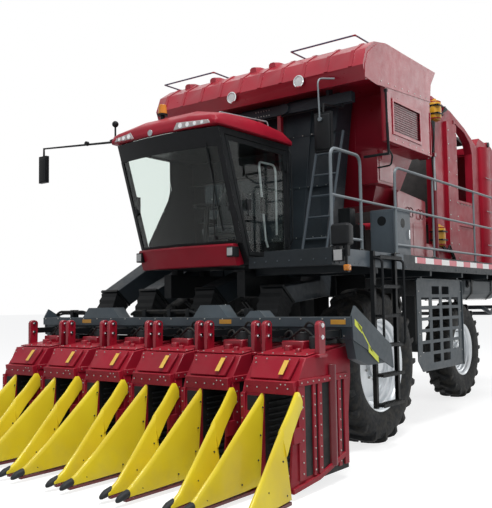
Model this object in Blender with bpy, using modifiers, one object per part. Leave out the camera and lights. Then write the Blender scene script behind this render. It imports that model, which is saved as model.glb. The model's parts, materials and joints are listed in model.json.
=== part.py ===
"""Six-row self-propelled cotton picker with an on-board round module builder.

Metres. +Z is up, the front faces -Y and the machine's own left, the ladder side, is +X.
The origin is on the ground under the middle of the whole machine.
"""
import math

import bmesh
import bpy
from mathutils import Matrix, Vector

# Fits shared by every piece
TOUCH_GAP = 0.0003
CUT_OVERRUN = 0.02
WELD_OVERLAP = 0.012
MOVING_GAP = 0.008

# Row layout
ROW_COUNT = 6
ROW_PITCH = 0.76

# Axles and wheels
FRONT_AXLE_Y = -1.206
WHEELBASE = 4.72
REAR_AXLE_Y = FRONT_AXLE_Y + WHEELBASE
FRONT_TYRE_RADIUS = 0.97
FRONT_TYRE_WIDTH = 0.53
FRONT_RIM_RADIUS = 0.56
FRONT_TRACK = 3.01
REAR_TYRE_RADIUS = 0.873
REAR_TYRE_WIDTH = 0.45
REAR_RIM_RADIUS = 0.45
REAR_TRACK = 1.60
LUG_COUNT = 20
WHEEL_STEPS = 2 * LUG_COUNT
LUG_HEIGHT = 0.045
lug_width_share = 0.55
bead_share = 0.80
tread_share = 0.86
lug_end_share = 0.97
RIM_WALL = 0.025
rim_disc_share = 0.35
rim_lip_share = 0.7
rim_well_share = 0.5
HUB_RADIUS = 0.17
HUB_CLEARANCE = 0.004
AXLE_RADIUS = 0.09
AXLE_BEAM = 0.24
KINGPIN_INSET = 0.42

# Chassis
RAIL_X = 0.60
RAIL_WIDTH = 0.12
RAIL_BOTTOM = 1.85
RAIL_TOP = 2.15
CHASSIS_FRONT_Y = -2.62
CHASSIS_REAR_Y = 4.28
CROSS_MEMBER = 0.14
AXLE_LEG_WIDTH = 0.16

# Header
HEADER_FACE_Y = -3.90
HEAD_LEFT = 0.264
HEAD_RIGHT = 0.337
THROAT_LEFT = 0.005
THROAT_RIGHT = 0.312
THROAT_TOP = 0.93
TOOLBAR_FRONT_Y = -3.205
TOOLBAR_DEPTH = 0.275
TOOLBAR_TOP = 1.615
TOOLBAR_STEP_Z = 1.52
TOOLBAR_BOTTOM = 1.40
TOOLBAR_STEP_IN = 0.04
TOOLBAR_OVERHANG = 0.12
TOOLBAR_HALF = ROW_COUNT * ROW_PITCH / 2 + TOOLBAR_OVERHANG
BOARD_THICKNESS = 0.02
LIFT_PIVOT_Y = -1.72
LIFT_PIVOT_Z = 1.30
LIFT_ARM_X = 0.78
LIFT_ARM_WIDTH = 0.09
LIFT_PIN_RADIUS = 0.035

# Cab
CAB_HALF = 0.82
CAB_WALL = 0.06
CAB_FLOOR_Z = 2.22
CAB_SILL_TOP = 2.47
CAB_TOP = 3.78
CAB_REAR_Y = -1.85
CAB_SILL_Y = -2.73
CAB_SCREEN_FOOT_Y = -2.86
CAB_SCREEN_HEAD_Y = -3.28
SCREEN_BULGE = 0.10
GLASS_THICKNESS = 0.008
ROOF_FRONT_Y = -3.38
ROOF_REAR_Y = -1.76
ROOF_THICKNESS = 0.17
ROOF_OVERHANG = 0.06
ROOF_CROWN = 0.10

# Platform and guards
PLATFORM_OUTER_X = 1.95
PLATFORM_TOP = 2.30
PLATFORM_THICKNESS = 0.05
PLATFORM_EDGE_TOP = 2.36
PLATFORM_EDGE_BOTTOM = 2.17
PLATFORM_FRONT_Y = -2.77
PLATFORM_REAR_Y = 3.40
WALKWAY_INNER_X = 1.52
RAIL_TUBE = 0.019
rail_corner_share = 6.0
lower_rail_share = 0.9
link_rail_share = 0.85
rung_share = 0.8
TUBE_ROUNDNESS = 1
GUARD_X = 1.70
GUARD_FRONT_Y = -0.04
GUARD_REAR_Y = 1.66
GUARD_TOP = 2.08
GUARD_BOTTOM = 0.77

# Upper works
HOPPER_LEFT_X = 1.92
HOPPER_RIGHT_X = -1.50
HOPPER_TOP = 5.05
BUILDER_HALF = 1.50
BUILDER_PLATE = 0.12
BELT_SIDE_GAP = 0.18
CHAMBER_HALF = BUILDER_HALF - BUILDER_PLATE - BELT_SIDE_GAP
CHAMBER_RADIUS = 1.15
CHAMBER_Y = 2.95
CHAMBER_Z = 3.50
CHAMBER_WALL = 0.05
GATE_SPLIT_Y = 3.76
GATE_HINGE_Z = 4.62

# Front axle drums, rear axle eyes and knuckles
AXLE_DRUM_LENGTH = 0.24
AXLE_DRUM_GAP = 0.02
AXLE_DRUM_RADIUS = 0.27
HUB_REACH = 0.13
EYE_HEIGHT = 0.22
beam_inset_share = 0.15
EYE_RADIUS = 0.07
REAR_BEAM_DEPTH = 0.13
PEDESTAL_HALF = 0.13
KINGPIN_RADIUS = 0.03
PIN_GAP = 0.002
JAW_THICKNESS = 0.05
cross_member_shares = (0.195, 0.42, 0.62, 1.0)
cab_mount_shares = (0.02, 0.10)
BRACKET_TIE_Y = -1.60
BRACKET_TIE_Z = 1.52
BRACKET_TIE_RADIUS = 0.05

# Lift arms and rams
RAM_FOOT_Y = -1.50
RAM_FOOT_Z = 0.80
RAM_HEAD_Y = -2.50
RAM_HEAD_Z = 1.16
RAM_EYE_WIDTH = 0.045
RAM_EYE_RADIUS = 0.055
RAM_PIN_RADIUS = 0.021
ram_neck_share = 0.7
RAM_DRIFT = 0.012
RAM_BARREL_RADIUS = 0.048
RAM_BARREL_LENGTH = 0.72
RAM_ROD_RADIUS = 0.026
RAM_ROD_HIDDEN = 0.42
RAM_SLOT = 0.09
RAM_SLOT_REAR = 0.252
BRACKET_AHEAD = 0.16
BRACKET_DEPTH = 0.46
BRACKET_BELOW = 0.09
bracket_shares = ((0.0, 1.0), (0.75, 1.0), (1.0, 0.12), (1.0, 0.0), (0.60, 0.0), (0.0, 0.42))
LIFT_ARM_END = 0.07
LIFT_ARM_REACH = 1.30
lift_arm_shares = ((0.0, -0.12), (0.0, 0.12), (0.05, 0.22), (1.0, 0.95), (1.0, 0.35), (0.72, -0.05),
                   (0.70, -0.75),
                   (0.56, -0.75), (0.50, -0.22), (0.05, -0.22))

# Header outlines
HEAD_TOE = 0.183
HEAD_DEPTH = 1.143
HEAD_HEIGHT = 1.34
head_side_shares = ((0.0, 0.043), (0.423, 0.075), (0.86, 0.172), (0.947, 0.448), (1.0, 0.746), (1.0, 1.0),
                    (0.266, 0.935), (0.116, 0.761), (0.09, 0.694))
HANGER_AHEAD = 0.30
HANGER_FOOT = 1.05
HANGER_TOP = 1.56
HANGER_WIDTH = 0.05
hanger_shares = ((0.0, 0.0), (0.27, 0.0), (0.27, 0.70), (1.0, 0.70), (1.0, 0.88), (0.30, 0.90), (0.30, 1.0),
                 (0.05, 1.0), (0.0, 0.93))
GROUND_GAP = 0.04
DIVIDER_REACH = 1.20
DIVIDER_HEIGHT = 0.93
DIVIDER_RIDGE = 0.036
# Columns: share of reach, then low side, ridge and far side as shares of the row pitch, foot and ridge shares
divider_section_shares = {
    "left": ((-0.0333, -0.0789, -0.0105, 0.0105, 0.6237, 0.9978),
             (0.0583, -0.1447, -0.0211, 0.0105, 0.0645, 0.9624),
             (0.35, -0.1974, -0.0658, 0.0079, 0.0484, 0.629), (0.625, -0.1645, -0.0763, -0.0053, 0.0376,
                                                               0.328),
             (0.8333, -0.1184, -0.0684, -0.0263, 0.0269, 0.1237), (1.0, -0.0763, -0.0658, -0.0553, 0.0086,
                                                                   0.028)),
    "right": ((-0.0167, 0.4184, 0.4382, 0.4632, 0.871, 0.9978),
              (0.0833, 0.4237, 0.4539, 0.4895, 0.7849, 0.9409),
             (0.2083, 0.4447, 0.4895, 0.5526, 0.6237, 0.8065), (0.3333, 0.4605, 0.5329, 0.6447, 0.4839,
                                                                0.6989),
             (0.3417, 0.4605, 0.5342, 0.6579, 0.0484, 0.6903), (0.4417, 0.4803, 0.5526, 0.6737, 0.043,
                                                                0.5591),
             (0.65, 0.55, 0.6079, 0.6974, 0.0344, 0.3172), (0.8333, 0.6289, 0.6645, 0.7079, 0.0269, 0.1237),
             (1.0, 0.6684, 0.6789, 0.6895, 0.0086, 0.028)),
}
# Columns: middle, base length, crest length, height above the bar
TOOLBAR_BRACKETS = ((-1.28, 0.72, 0.46, 0.125), (0.56, 0.53, 0.28, 0.14), (1.20, 0.30, 0.13, 0.07))
BOARD_BOTTOM = 1.05
BOARD_LENGTH = 0.92
BOARD_HEIGHT = 0.68
BRACE_WIDTH = 0.09
marker_board_shares = ((0.04, 0.50), (0.02, 0.85), (0.09, 1.0), (0.95, 0.37), (1.0, 0.0))
board_brace_shares = ((0.05, 0.52), (0.05, 0.72), (0.30, 0.72), (0.92, 0.10), (0.40, 0.10), (0.12, 0.22))

# Cab details
PILLAR = 0.075
DOOR_SILL = 0.10
DOOR_FRAME = 0.055
DOOR_THICKNESS = 0.035
# Columns: width share, front and rear set-back in crowns, rise share
roof_section_shares = ((1.0, 0.0, 0.0, 0.0), (1.0, -0.1, 0.0, 0.5), (0.93, 0.8, 0.5, 0.8),
                       (0.7, 3.0, 2.0, 1.0))
SEAT_BACK_GAP = 0.10
SEAT_HALF = 0.25
SEAT_DEPTH = 0.42
SEAT_HEIGHT = 0.48
SEAT_PAD = 0.11
SEAT_BACK = 0.62
# Shares of the seat's half width, pad and depth
seat_back_shares = (0.9, 0.2)
seat_pedestal_shares = (0.6, 0.8, 0.2)
COLUMN_FOOT_Y = -2.57
COLUMN_LEAN = 0.05
COLUMN_HEIGHT = 0.72
COLUMN_HALF = 0.07
STEERING_RADIUS = 0.17
STEERING_TUBE = 0.014
STEERING_STEPS = 16
steering_spoke_share = 0.9
column_tube_share = 0.5

# Platform details
PLATFORM_CAB_GAP = 0.012
PLATFORM_BEND_Y = -1.57
EDGE_BEAM = 0.06
DOOR_SWEEP = 0.22
OUTRIGGER_BOTTOM = 2.10
outrigger_shares = (0.06, 0.17, 0.43, 0.62, 0.80, 0.97)
CABINET_X = 1.53
CABINET_Y = -1.05
CABINET_WIDTH = 0.34
CABINET_DEPTH = 0.50
CABINET_TOP = 2.95
LADDER_Y = -1.90
LADDER_WIDTH = 0.62
LADDER_STILE = 0.05
LADDER_FOOT = 0.53
LADDER_STEPS = 6
LADDER_PITCH = 0.345
LADDER_STEP_THICKNESS = 0.035
LADDER_STEP_OUT = 0.08
LADDER_RAIL_FOOT = 0.72
LADDER_RAIL_OUT = 0.10
RAILING_TOP = 3.47
RAILING_MIDDLE = 2.945
RAILING_LOW = 2.48
RAILING_RUNS = ((-2.70, -2.02), (-1.10, 3.34))
LAMP_BOX_X = 1.93
LAMP_BOX_WIDTH = 0.22
LAMP_BOX_Y = -2.76
LAMP_BOX_DEPTH = 0.13
LAMP_BOX_BOTTOM = 2.375
LAMP_BOX_TOP = 2.62
CORNER_LAMP = 0.12
CORNER_LAMP_SINK = 0.05
UPPER_LADDER_X = 0.90
UPPER_LADDER_Y = -1.72
UPPER_LADDER_WIDTH = 0.36
UPPER_LADDER_LEAN = 0.22
UPPER_LADDER_SWAY = 0.16
UPPER_LADDER_TOP = 3.95
UPPER_LADDER_RUNGS = 5
GUARD_THICKNESS = 0.012
GUARD_CHAMFER = 0.16
GUARD_HOLE_SHARE = 0.72
GUARD_MARGIN_SHARE = 0.55
GUARD_ROW_HOLE_COUNTS = (2, 4, 4, 4, 4, 4, 2)
TANK_INNER_X = 0.95
TANK_OUTER_X = 1.72
TANK_BOTTOM = 1.78
TANK_CHAMFER = 0.10
TANK_FRONT_Y = 1.72
TANK_LENGTH = 1.60
ENGINE_HALF = 0.45
ENGINE_Y = -0.35
ENGINE_LENGTH = 1.25
ENGINE_HEIGHT = 0.85

# Ducts, beam and accumulator
BANK_BOTTOM_HALF = 1.00
BANK_TOP_HALF = 1.20
BANK_BOTTOM_Y = -1.40
BANK_TOP_Y = -1.22
BANK_DEPTH = 0.38
BANK_STEP = 0.03
FEED_MOUTH_Y = -2.46
FEED_MOUTH_Z = 1.86
FEED_WIDTH = 0.30
FEED_DEPTH = 0.24
feed_slant_share = 0.4
feed_neck_share = 0.9
# Columns: mouth X, knee X, knee Y, knee Z, upper X, upper Z
FEED_DUCT_PLACES = ((-1.75, -1.20, -1.62, 2.58, -0.92, 2.95), (-1.00, -0.99, -1.80, 2.15, -0.98, 2.60),
              (0.0, 0.0, -1.76, 2.08, 0.0, 2.34), (1.02, 0.95, -1.50, 1.95, 0.84, 2.42))
BEAM_HALF = 1.55
BEAM_Y = -1.50
BEAM_DEPTH = 0.10
BEAM_BOTTOM = 4.31
BEAM_TOP = 4.44
BEAM_HANGER_X = 1.20
BEAM_HANGER = 0.04
LAMP_X = 0.55
LAMP_DEPTH = 0.05
LAMP_RADIUS = 0.07
HOOD_FRONT_Y = -1.88
HOOD_LENGTH = 2.23
HOOD_LIP_Z = 4.42
HOOD_RIB_COUNT = 10
HOOD_RIB_WIDTH = 0.05
HOOD_RIB_HEIGHT = 0.012
LOOP_TUBE = 0.012
LOOP_RISE = 0.05
LOOP_LENGTH = 0.96
LOOP_DEPTH = 0.40
LOOP_Y = -1.60
LOOP_PLACES = (-1.58, 0.72)
loop_leg_shares = (0.05, 0.95)
hood_under_share = 0.22
hood_side_shares = ((0.03, 0.03), (0.0, 0.30), (0.04, 0.65), (0.14, 0.88), (0.28, 0.98), (1.0, 1.0),
                    (0.92, 0.65),
                    (0.90, hood_under_share), (0.25, hood_under_share))
BANK_BOTTOM_Z = RAIL_TOP + TOUCH_GAP
BANK_TOP_Z = HOOD_LIP_Z + hood_under_share * (HOPPER_TOP - HOOD_LIP_Z) - TOUCH_GAP
HOPPER_FRONT_Y = -0.78
HOPPER_REAR_SHARE = 0.895
HOPPER_TAPER = 0.25
hopper_foot_shares = (0.85, 0.68)
HOPPER_FOOT_Z = 3.10
HOPPER_SHOULDER_Z = 3.78
HOPPER_JOIN_Z = 4.70
SIDE_BOX_INSET = 0.30
SIDE_BOX_Y = -1.30
SIDE_BOX_LENGTH = 1.40
SIDE_SKIRT = 0.06
SIDE_RECESS = 0.02
side_recess_shares = ((0.136, 0.13), (0.764, 0.63))
UNDER_BOX_X = 1.32
UNDER_BOX_WIDTH = 0.24
UNDER_BOX_Y = -0.85
UNDER_BOX_LENGTH = 0.55
UNDER_BOX_HEIGHT = 0.45
SIDE_PANEL_X = 1.44
SIDE_PANEL_THICKNESS = 0.06
SIDE_PANEL_Y = -0.15
SIDE_PANEL_LENGTH = 1.24
SIDE_PANEL_TOP = 3.34
side_panel_shares = ((0.0, 0.0), (1.0, 0.0), (1.0, 0.34), (0.79, 0.34), (0.79, 0.93), (0.05, 1.0),
                     (0.0, 0.96))

# Module builder, gate and handler
BUILDER_FRONT_Y = 1.20
BUILDER_FLOOR_Z = 2.31
BUILDER_TOP = 4.98
BUILDER_TIE = 0.12
builder_side_shares = ((0.0, 0.0), (1.0, 0.0), (1.0, 0.86), (0.82, 0.88), (0.76, 0.82), (0.55, 0.90),
                       (0.30, 0.965),
                       (0.0, 1.0))
builder_window_shares = ((0.36, 0.42), (0.66, 0.42), (0.66, 0.75), (0.62, 0.82), (0.52, 0.87), (0.36, 0.90))
builder_tie_shares = ((0.02, 0.90), (0.90, 0.80))
builder_sill_shares = (0.02, 0.90)
UPRIGHT_Y = 1.66
UPRIGHT_WIDTH = 0.42
UPRIGHT_PROUD = 0.05
COLUMN_Y = 3.26
COLUMN_WIDTH = 0.42
COLUMN_PROUD = 0.12
upright_height_share = 0.88
column_height_share = 0.82
column_shares = ((0.0, 0.0), (0.0, 0.45), (0.22, 0.85), (0.42, 1.0), (0.58, 1.0), (0.78, 0.85),
                 (1.0, 0.45), (1.0, 0.0))
CANISTER_PROUD = 0.03
CANISTER_X = BUILDER_HALF + CANISTER_PROUD
CANISTER_Y = 1.24
CANISTER_RADIUS = 0.10
CANISTER_HEIGHT = 0.28
CANISTER_FEET = (4.60, 2.62)
BELT_ROLLER_RADIUS = 0.06
belt_roller_angles = (140.0, 200.0, 240.0)
GATE_EAR_RADIUS = 0.05
GATE_PIN_RADIUS = 0.025
GATE_LUG_RADIUS = 0.06
GATE_BOTTOM = 2.16
GATE_LENGTH = 1.05
GATE_HUMP = 0.02
GATE_PLATE = 0.06
gate_side_shares = ((0.0, 0.12), (0.0, 1.0), (0.20, 0.98), (0.62, 0.88), (0.90, 0.66), (1.0, 0.45),
                    (0.90, 0.22),
                    (0.60, 0.03), (0.30, 0.0))
gate_wall_shares = ((0.12, 0.99), (0.20, 0.98), (0.62, 0.88), (0.90, 0.66), (1.0, 0.45), (0.90, 0.22),
                    (0.60, 0.03),
                    (0.56, 0.08), (0.84, 0.25), (0.93, 0.45), (0.84, 0.63), (0.58, 0.83), (0.18, 0.93), (0.12, 0.94))
HANDLER_PIVOT_Y = 4.32
HANDLER_PIVOT_Z = 1.62
HANDLER_REACH = 0.74
HANDLER_BRACKET = 0.05
HANDLER_LUG = 0.06
HANDLER_LUG_ROOT = 0.09
HANDLER_HALF = 1.10
HANDLER_TUBE = 0.04
HANDLER_SAG = 0.12
HANDLER_SADDLE_SHARE = 0.6

# Mirrors
MIRROR_TUBE = 0.016
MIRROR_NECK = 0.05
MIRROR_DEPTH = 0.05
MIRROR_DROP = 0.12
MIRROR_RIGHT_ROOT_Y = -3.20
MIRROR_RIGHT_ROOT_Z = 3.86
MIRROR_RIGHT_X = 2.30
MIRROR_RIGHT_Y = -3.28
MIRROR_RIGHT_Z = 3.95
MIRROR_RIGHT_HIGH = 0.36
MIRROR_RIGHT_WIDE = 0.16
MIRROR_LEFT_X = 1.40
MIRROR_LEFT_Y = -1.95
MIRROR_LEFT_Z = 4.20
MIRROR_LEFT_HIGH = 0.48
MIRROR_LEFT_WIDE = 0.24

SIDE = Matrix(((0, 0, 1, 0), (1, 0, 0, 0), (0, 1, 0, 0), (0, 0, 0, 1)))
FRONT = Matrix(((1, 0, 0, 0), (0, 0, -1, 0), (0, 1, 0, 0), (0, 0, 0, 1)))
PLAN = Matrix.Identity(4)


def clear_scene():
    for item in list(bpy.data.objects):
        bpy.data.objects.remove(item, do_unlink=True)


clear_scene()
PARTS = bpy.data.collections.new("cotton_picker")
CUTTERS = bpy.data.collections.new("cutters")
bpy.context.scene.collection.children.link(PARTS)
bpy.context.scene.collection.children.link(CUTTERS)


def finish(name, red, green, blue, roughness, metallic=0.0):
    material = bpy.data.materials.new(name)
    material.use_nodes = True
    shader = material.node_tree.nodes["Principled BSDF"]
    shader.inputs["Base Color"].default_value = (red, green, blue, 1.0)
    shader.inputs["Roughness"].default_value = roughness
    shader.inputs["Metallic"].default_value = metallic
    return material


RED = finish("crimson_enamel", 0.40, 0.012, 0.028, 0.35)
GREY = finish("graphite_enamel", 0.055, 0.066, 0.070, 0.45)
YELLOW = finish("divider_yellow", 0.78, 0.62, 0.03, 0.40)
SILVER = finish("rim_silver", 0.30, 0.33, 0.35, 0.45, 0.4)
RUBBER = finish("tyre_rubber", 0.025, 0.025, 0.027, 0.85)
GLASS = finish("tinted_glass", 0.02, 0.05, 0.045, 0.08)
BLACK = finish("black_plastic", 0.015, 0.015, 0.016, 0.55)
STEEL = finish("bright_steel", 0.55, 0.56, 0.58, 0.25, 1.0)
BELT = finish("belt_rubber", 0.03, 0.03, 0.03, 0.8)
SEAT = finish("seat_fabric", 0.04, 0.04, 0.045, 0.9)


def place(name, mesh, material=None, matrix=None):
    """Put a mesh in the parts collection."""
    item = bpy.data.objects.new(name, mesh)
    PARTS.objects.link(item)
    if matrix is not None:
        item.matrix_world = matrix
    if material is not None:
        mesh.materials.clear()
        mesh.materials.append(material)
    return item


def box(name, low, high, material=None):
    """A block between two corners."""
    bm = bmesh.new()
    bmesh.ops.create_cube(bm, size=1.0)
    size = Vector(high) - Vector(low)
    middle = (Vector(high) + Vector(low)) / 2
    bmesh.ops.scale(bm, vec=size, verts=bm.verts)
    mesh = bpy.data.meshes.new(name)
    bm.to_mesh(mesh)
    bm.free()
    return place(name, mesh, material, Matrix.Translation(middle))


def curve_mesh(name, curve, matrix, material):
    """Turn a curve into a welded mesh object and drop the curve."""
    drawn = bpy.data.objects.new(name + "_curve", curve)
    CUTTERS.objects.link(drawn)
    drawn.matrix_world = matrix
    bpy.context.view_layer.update()
    graph = bpy.context.evaluated_depsgraph_get()
    mesh = bpy.data.meshes.new_from_object(drawn.evaluated_get(graph))
    bm = bmesh.new()
    bm.from_mesh(mesh)
    bmesh.ops.remove_doubles(bm, verts=bm.verts, dist=TOUCH_GAP / 3)
    bmesh.ops.recalc_face_normals(bm, faces=bm.faces)
    bm.to_mesh(mesh)
    bm.free()
    bpy.data.objects.remove(drawn, do_unlink=True)
    return place(name, mesh, material, matrix)


def flat_piece(name, outlines, plane, offset, thickness, material=None):
    """A flat outline with any holes, in a plane, from offset to offset plus thickness."""
    middle = offset + thickness / 2
    curve = bpy.data.curves.new(name, "CURVE")
    curve.dimensions = "2D"
    curve.fill_mode = "BOTH"
    curve.extrude = thickness / 2
    for outline in outlines:
        spline = curve.splines.new("POLY")
        spline.points.add(len(outline) - 1)
        for point, (u, v) in zip(spline.points, outline):
            point.co = (u, v, 0.0, 1.0)
        spline.use_cyclic_u = True
    normal = plane.to_3x3() @ Vector((0.0, 0.0, 1.0))
    along = max(normal, key=abs)
    step = normal * middle * (1 if along > 0 else -1)
    return curve_mesh(name, curve, Matrix.Translation(step) @ plane, material)


def tube(name, points, radius, material=None, closed=False):
    """A round bar or tube along straight runs."""
    curve = bpy.data.curves.new(name, "CURVE")
    curve.dimensions = "3D"
    curve.bevel_depth = radius
    curve.bevel_resolution = TUBE_ROUNDNESS
    curve.use_fill_caps = True
    spline = curve.splines.new("POLY")
    spline.points.add(len(points) - 1)
    for point, place_at in zip(spline.points, points):
        point.co = (*place_at, 1.0)
    spline.use_cyclic_u = closed
    return curve_mesh(name, curve, Matrix.Identity(4), material)


def cylinder(name, start, end, radius, sides=24, material=None):
    """A round bar between two centres."""
    axis = Vector(end) - Vector(start)
    bm = bmesh.new()
    bmesh.ops.create_cone(bm, cap_ends=True, segments=sides, radius1=radius, radius2=radius,
                          depth=axis.length)
    mesh = bpy.data.meshes.new(name)
    bm.to_mesh(mesh)
    bm.free()
    mesh.shade_smooth()
    mesh.set_sharp_from_angle(angle=math.radians(40))
    turn = Vector((0, 0, 1)).rotation_difference(axis).to_matrix().to_4x4()
    return place(name, mesh, material, Matrix.Translation((Vector(start) + Vector(end)) / 2) @ turn)


def turned(name, profile, centre, steps, material=None):
    """A profile of (radius, along X) turned about an X axis through centre."""
    mesh = bpy.data.meshes.new(name)
    bm = bmesh.new()
    ring = [bm.verts.new((radius, 0.0, along)) for radius, along in profile]
    for first, second in zip(ring, ring[1:]):
        bm.edges.new((first, second))
    bm.edges.new((ring[-1], ring[0]))
    bm.to_mesh(mesh)
    bm.free()
    item = place(name, mesh, material)
    screw = item.modifiers.new("turn", "SCREW")
    screw.axis = "Z"
    screw.steps = steps
    screw.render_steps = steps
    screw.use_merge_vertices = True
    screw.merge_threshold = TOUCH_GAP / 3
    screw.use_smooth_shade = True
    item.matrix_world = Matrix.Translation(centre) @ Matrix.Rotation(math.radians(90), 4, "Y")
    return item


def loft(name, sections, material=None):
    """A skin through closed sections with the same number of points, capped at both ends."""
    bm = bmesh.new()
    rings = [[bm.verts.new(point) for point in section] for section in sections]
    for lower, upper in zip(rings, rings[1:]):
        count = len(lower)
        for index in range(count):
            nxt = (index + 1) % count
            bm.faces.new((lower[index], lower[nxt], upper[nxt], upper[index]))
    bm.faces.new(list(reversed(rings[0])))
    bm.faces.new(rings[-1])
    bmesh.ops.recalc_face_normals(bm, faces=bm.faces)
    mesh = bpy.data.meshes.new(name)
    bm.to_mesh(mesh)
    bm.free()
    return place(name, mesh, material)


def combine(target, tool, operation):
    modifier = target.modifiers.new(operation.lower() + "_" + tool.name, "BOOLEAN")
    modifier.operation = operation
    modifier.solver = "EXACT"
    modifier.object = tool
    for owner in list(tool.users_collection):
        owner.objects.unlink(tool)
    CUTTERS.objects.link(tool)
    tool.hide_render = True
    tool.display_type = "WIRE"


def add(target, *tools):
    for tool in tools:
        combine(target, tool, "UNION")
    return target


def cut(target, *tools):
    for tool in tools:
        combine(target, tool, "DIFFERENCE")
    return target


def rectangle(low, high):
    return [(low[0], low[1]), (high[0], low[1]), (high[0], high[1]), (low[0], high[1])]


def arc(centre, radius, start, end, steps):
    """Points on a circle, angles in degrees."""
    places = []
    for index in range(steps + 1):
        angle = math.radians(start + (end - start) * index / steps)
        places.append((centre[0] + radius * math.cos(angle), centre[1] + radius * math.sin(angle)))
    return places


def scaled(shares, corner, size):
    """Places given as shares of a size, measured from a corner."""
    return [(corner[0] + u * size[0], corner[1] + v * size[1]) for u, v in shares]


def rect_section(x_low, x_high, y_low, y_high, z):
    return [(x_low, y_low, z), (x_high, y_low, z), (x_high, y_high, z), (x_low, y_high, z)]


# Wheels, axles and steering


def wheel_ring(bm, radius, along, angles):
    """Points round the wheel's axis, the first one straight down."""
    places = []
    for angle in angles:
        places.append(bm.verts.new((along, -radius * math.sin(angle), -radius * math.cos(angle))))
    return places


def sidewall_faces(bm, coarse, fine):
    """Join a plain ring to a tread ring that has twice as many points."""
    for index in range(len(coarse)):
        nxt = (index + 1) % len(coarse)
        middle = fine[2 * index + 1]
        bm.faces.new((coarse[index], fine[2 * index], middle))
        bm.faces.new((coarse[index], middle, coarse[nxt]))
        bm.faces.new((coarse[nxt], middle, fine[(2 * index + 2) % len(fine)]))


def raised_lug(bm, corners, shoulder_x):
    """A lug over one tread patch, standing out from the carcass and running on to the shoulder."""
    tops = []
    for corner in corners:
        flat = Vector((0.0, corner.co.y, corner.co.z))
        along = corner.co.x if abs(corner.co.x) < TOUCH_GAP else shoulder_x
        lifted = flat + flat.normalized() * LUG_HEIGHT
        tops.append(bm.verts.new((along, lifted.y, lifted.z)))
    for index in range(4):
        nxt = (index + 1) % 4
        bm.faces.new((corners[index], corners[nxt], tops[nxt], tops[index]))
    bm.faces.new(tops)


def tyre(name, radius, width, rim_radius, centre):
    """Carcass with slanting lugs that alternate from side to side and meet at the middle of the tread."""
    half = width / 2
    carcass = radius - LUG_HEIGHT
    step = math.tau / WHEEL_STEPS
    plain = [index * step for index in range(WHEEL_STEPS)]
    tread = []
    for angle in plain:
        tread += [angle, angle + step * lug_width_share]
    count = len(tread)
    bm = bmesh.new()
    crown = wheel_ring(bm, carcass, 0.0, tread)
    beads = []
    for side in (-1, 1):
        shoulder = wheel_ring(bm, carcass - LUG_HEIGHT, side * half * tread_share, tread)
        wall = wheel_ring(bm, (rim_radius + carcass) / 2, side * half, plain)
        bead = wheel_ring(bm, rim_radius + TOUCH_GAP, side * half * bead_share, plain)
        beads.append(bead)
        for index in range(count):
            nxt = (index + 1) % count
            corners = (shoulder[index], shoulder[nxt], crown[(index + 3) % count], crown[(index + 2) % count])
            if index % 4 == 1 - side:
                raised_lug(bm, corners, side * half * lug_end_share)
            else:
                bm.faces.new(corners)
        sidewall_faces(bm, wall, shoulder)
        for index in range(WHEEL_STEPS):
            nxt = (index + 1) % WHEEL_STEPS
            bm.faces.new((bead[index], bead[nxt], wall[nxt], wall[index]))
    for index in range(WHEEL_STEPS):
        nxt = (index + 1) % WHEEL_STEPS
        bm.faces.new((beads[0][index], beads[0][nxt], beads[1][nxt], beads[1][index]))
    bmesh.ops.recalc_face_normals(bm, faces=bm.faces)
    mesh = bpy.data.meshes.new(name)
    bm.to_mesh(mesh)
    bm.free()
    return place(name, mesh, RUBBER, Matrix.Translation(centre))


def rim_profile(rim_radius, width, side):
    """Dished disc wheel: outer flange, well, disc set in from the outer face and a hub."""
    half = width / 2 * bead_share - TOUCH_GAP
    disc = half * rim_disc_share
    inner = rim_radius - RIM_WALL
    deep = inner - RIM_WALL
    outline = [
        (rim_radius, half),
        (rim_radius, -half),
        (inner, -half),
        (deep, -half * rim_well_share),
        (deep, disc - RIM_WALL),
        (HUB_RADIUS, disc - RIM_WALL * 2),
        (AXLE_RADIUS + HUB_CLEARANCE, disc - RIM_WALL * 2),
        (AXLE_RADIUS + HUB_CLEARANCE, disc + RIM_WALL * 2),
        (HUB_RADIUS, disc + RIM_WALL * 2),
        (deep, disc + RIM_WALL),
        (deep, half * rim_lip_share),
        (inner, half),
    ]
    return [(radius, side * along) for radius, along in outline][::side]


def wheel(label, x, y, tyre_radius, tyre_width, rim_radius):
    side = 1 if x > 0 else -1
    centre = (x, y, tyre_radius)
    tyre("tyre_" + label, tyre_radius, tyre_width, rim_radius, centre)
    turned("rim_" + label, rim_profile(rim_radius, tyre_width, side), centre, WHEEL_STEPS, SILVER)


def wheels():
    for label, side in (("left", 1), ("right", -1)):
        wheel("front_" + label, side * FRONT_TRACK / 2, FRONT_AXLE_Y, FRONT_TYRE_RADIUS, FRONT_TYRE_WIDTH,
              FRONT_RIM_RADIUS)
        wheel("rear_" + label, side * REAR_TRACK / 2, REAR_AXLE_Y, REAR_TYRE_RADIUS, REAR_TYRE_WIDTH,
              REAR_RIM_RADIUS)


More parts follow.
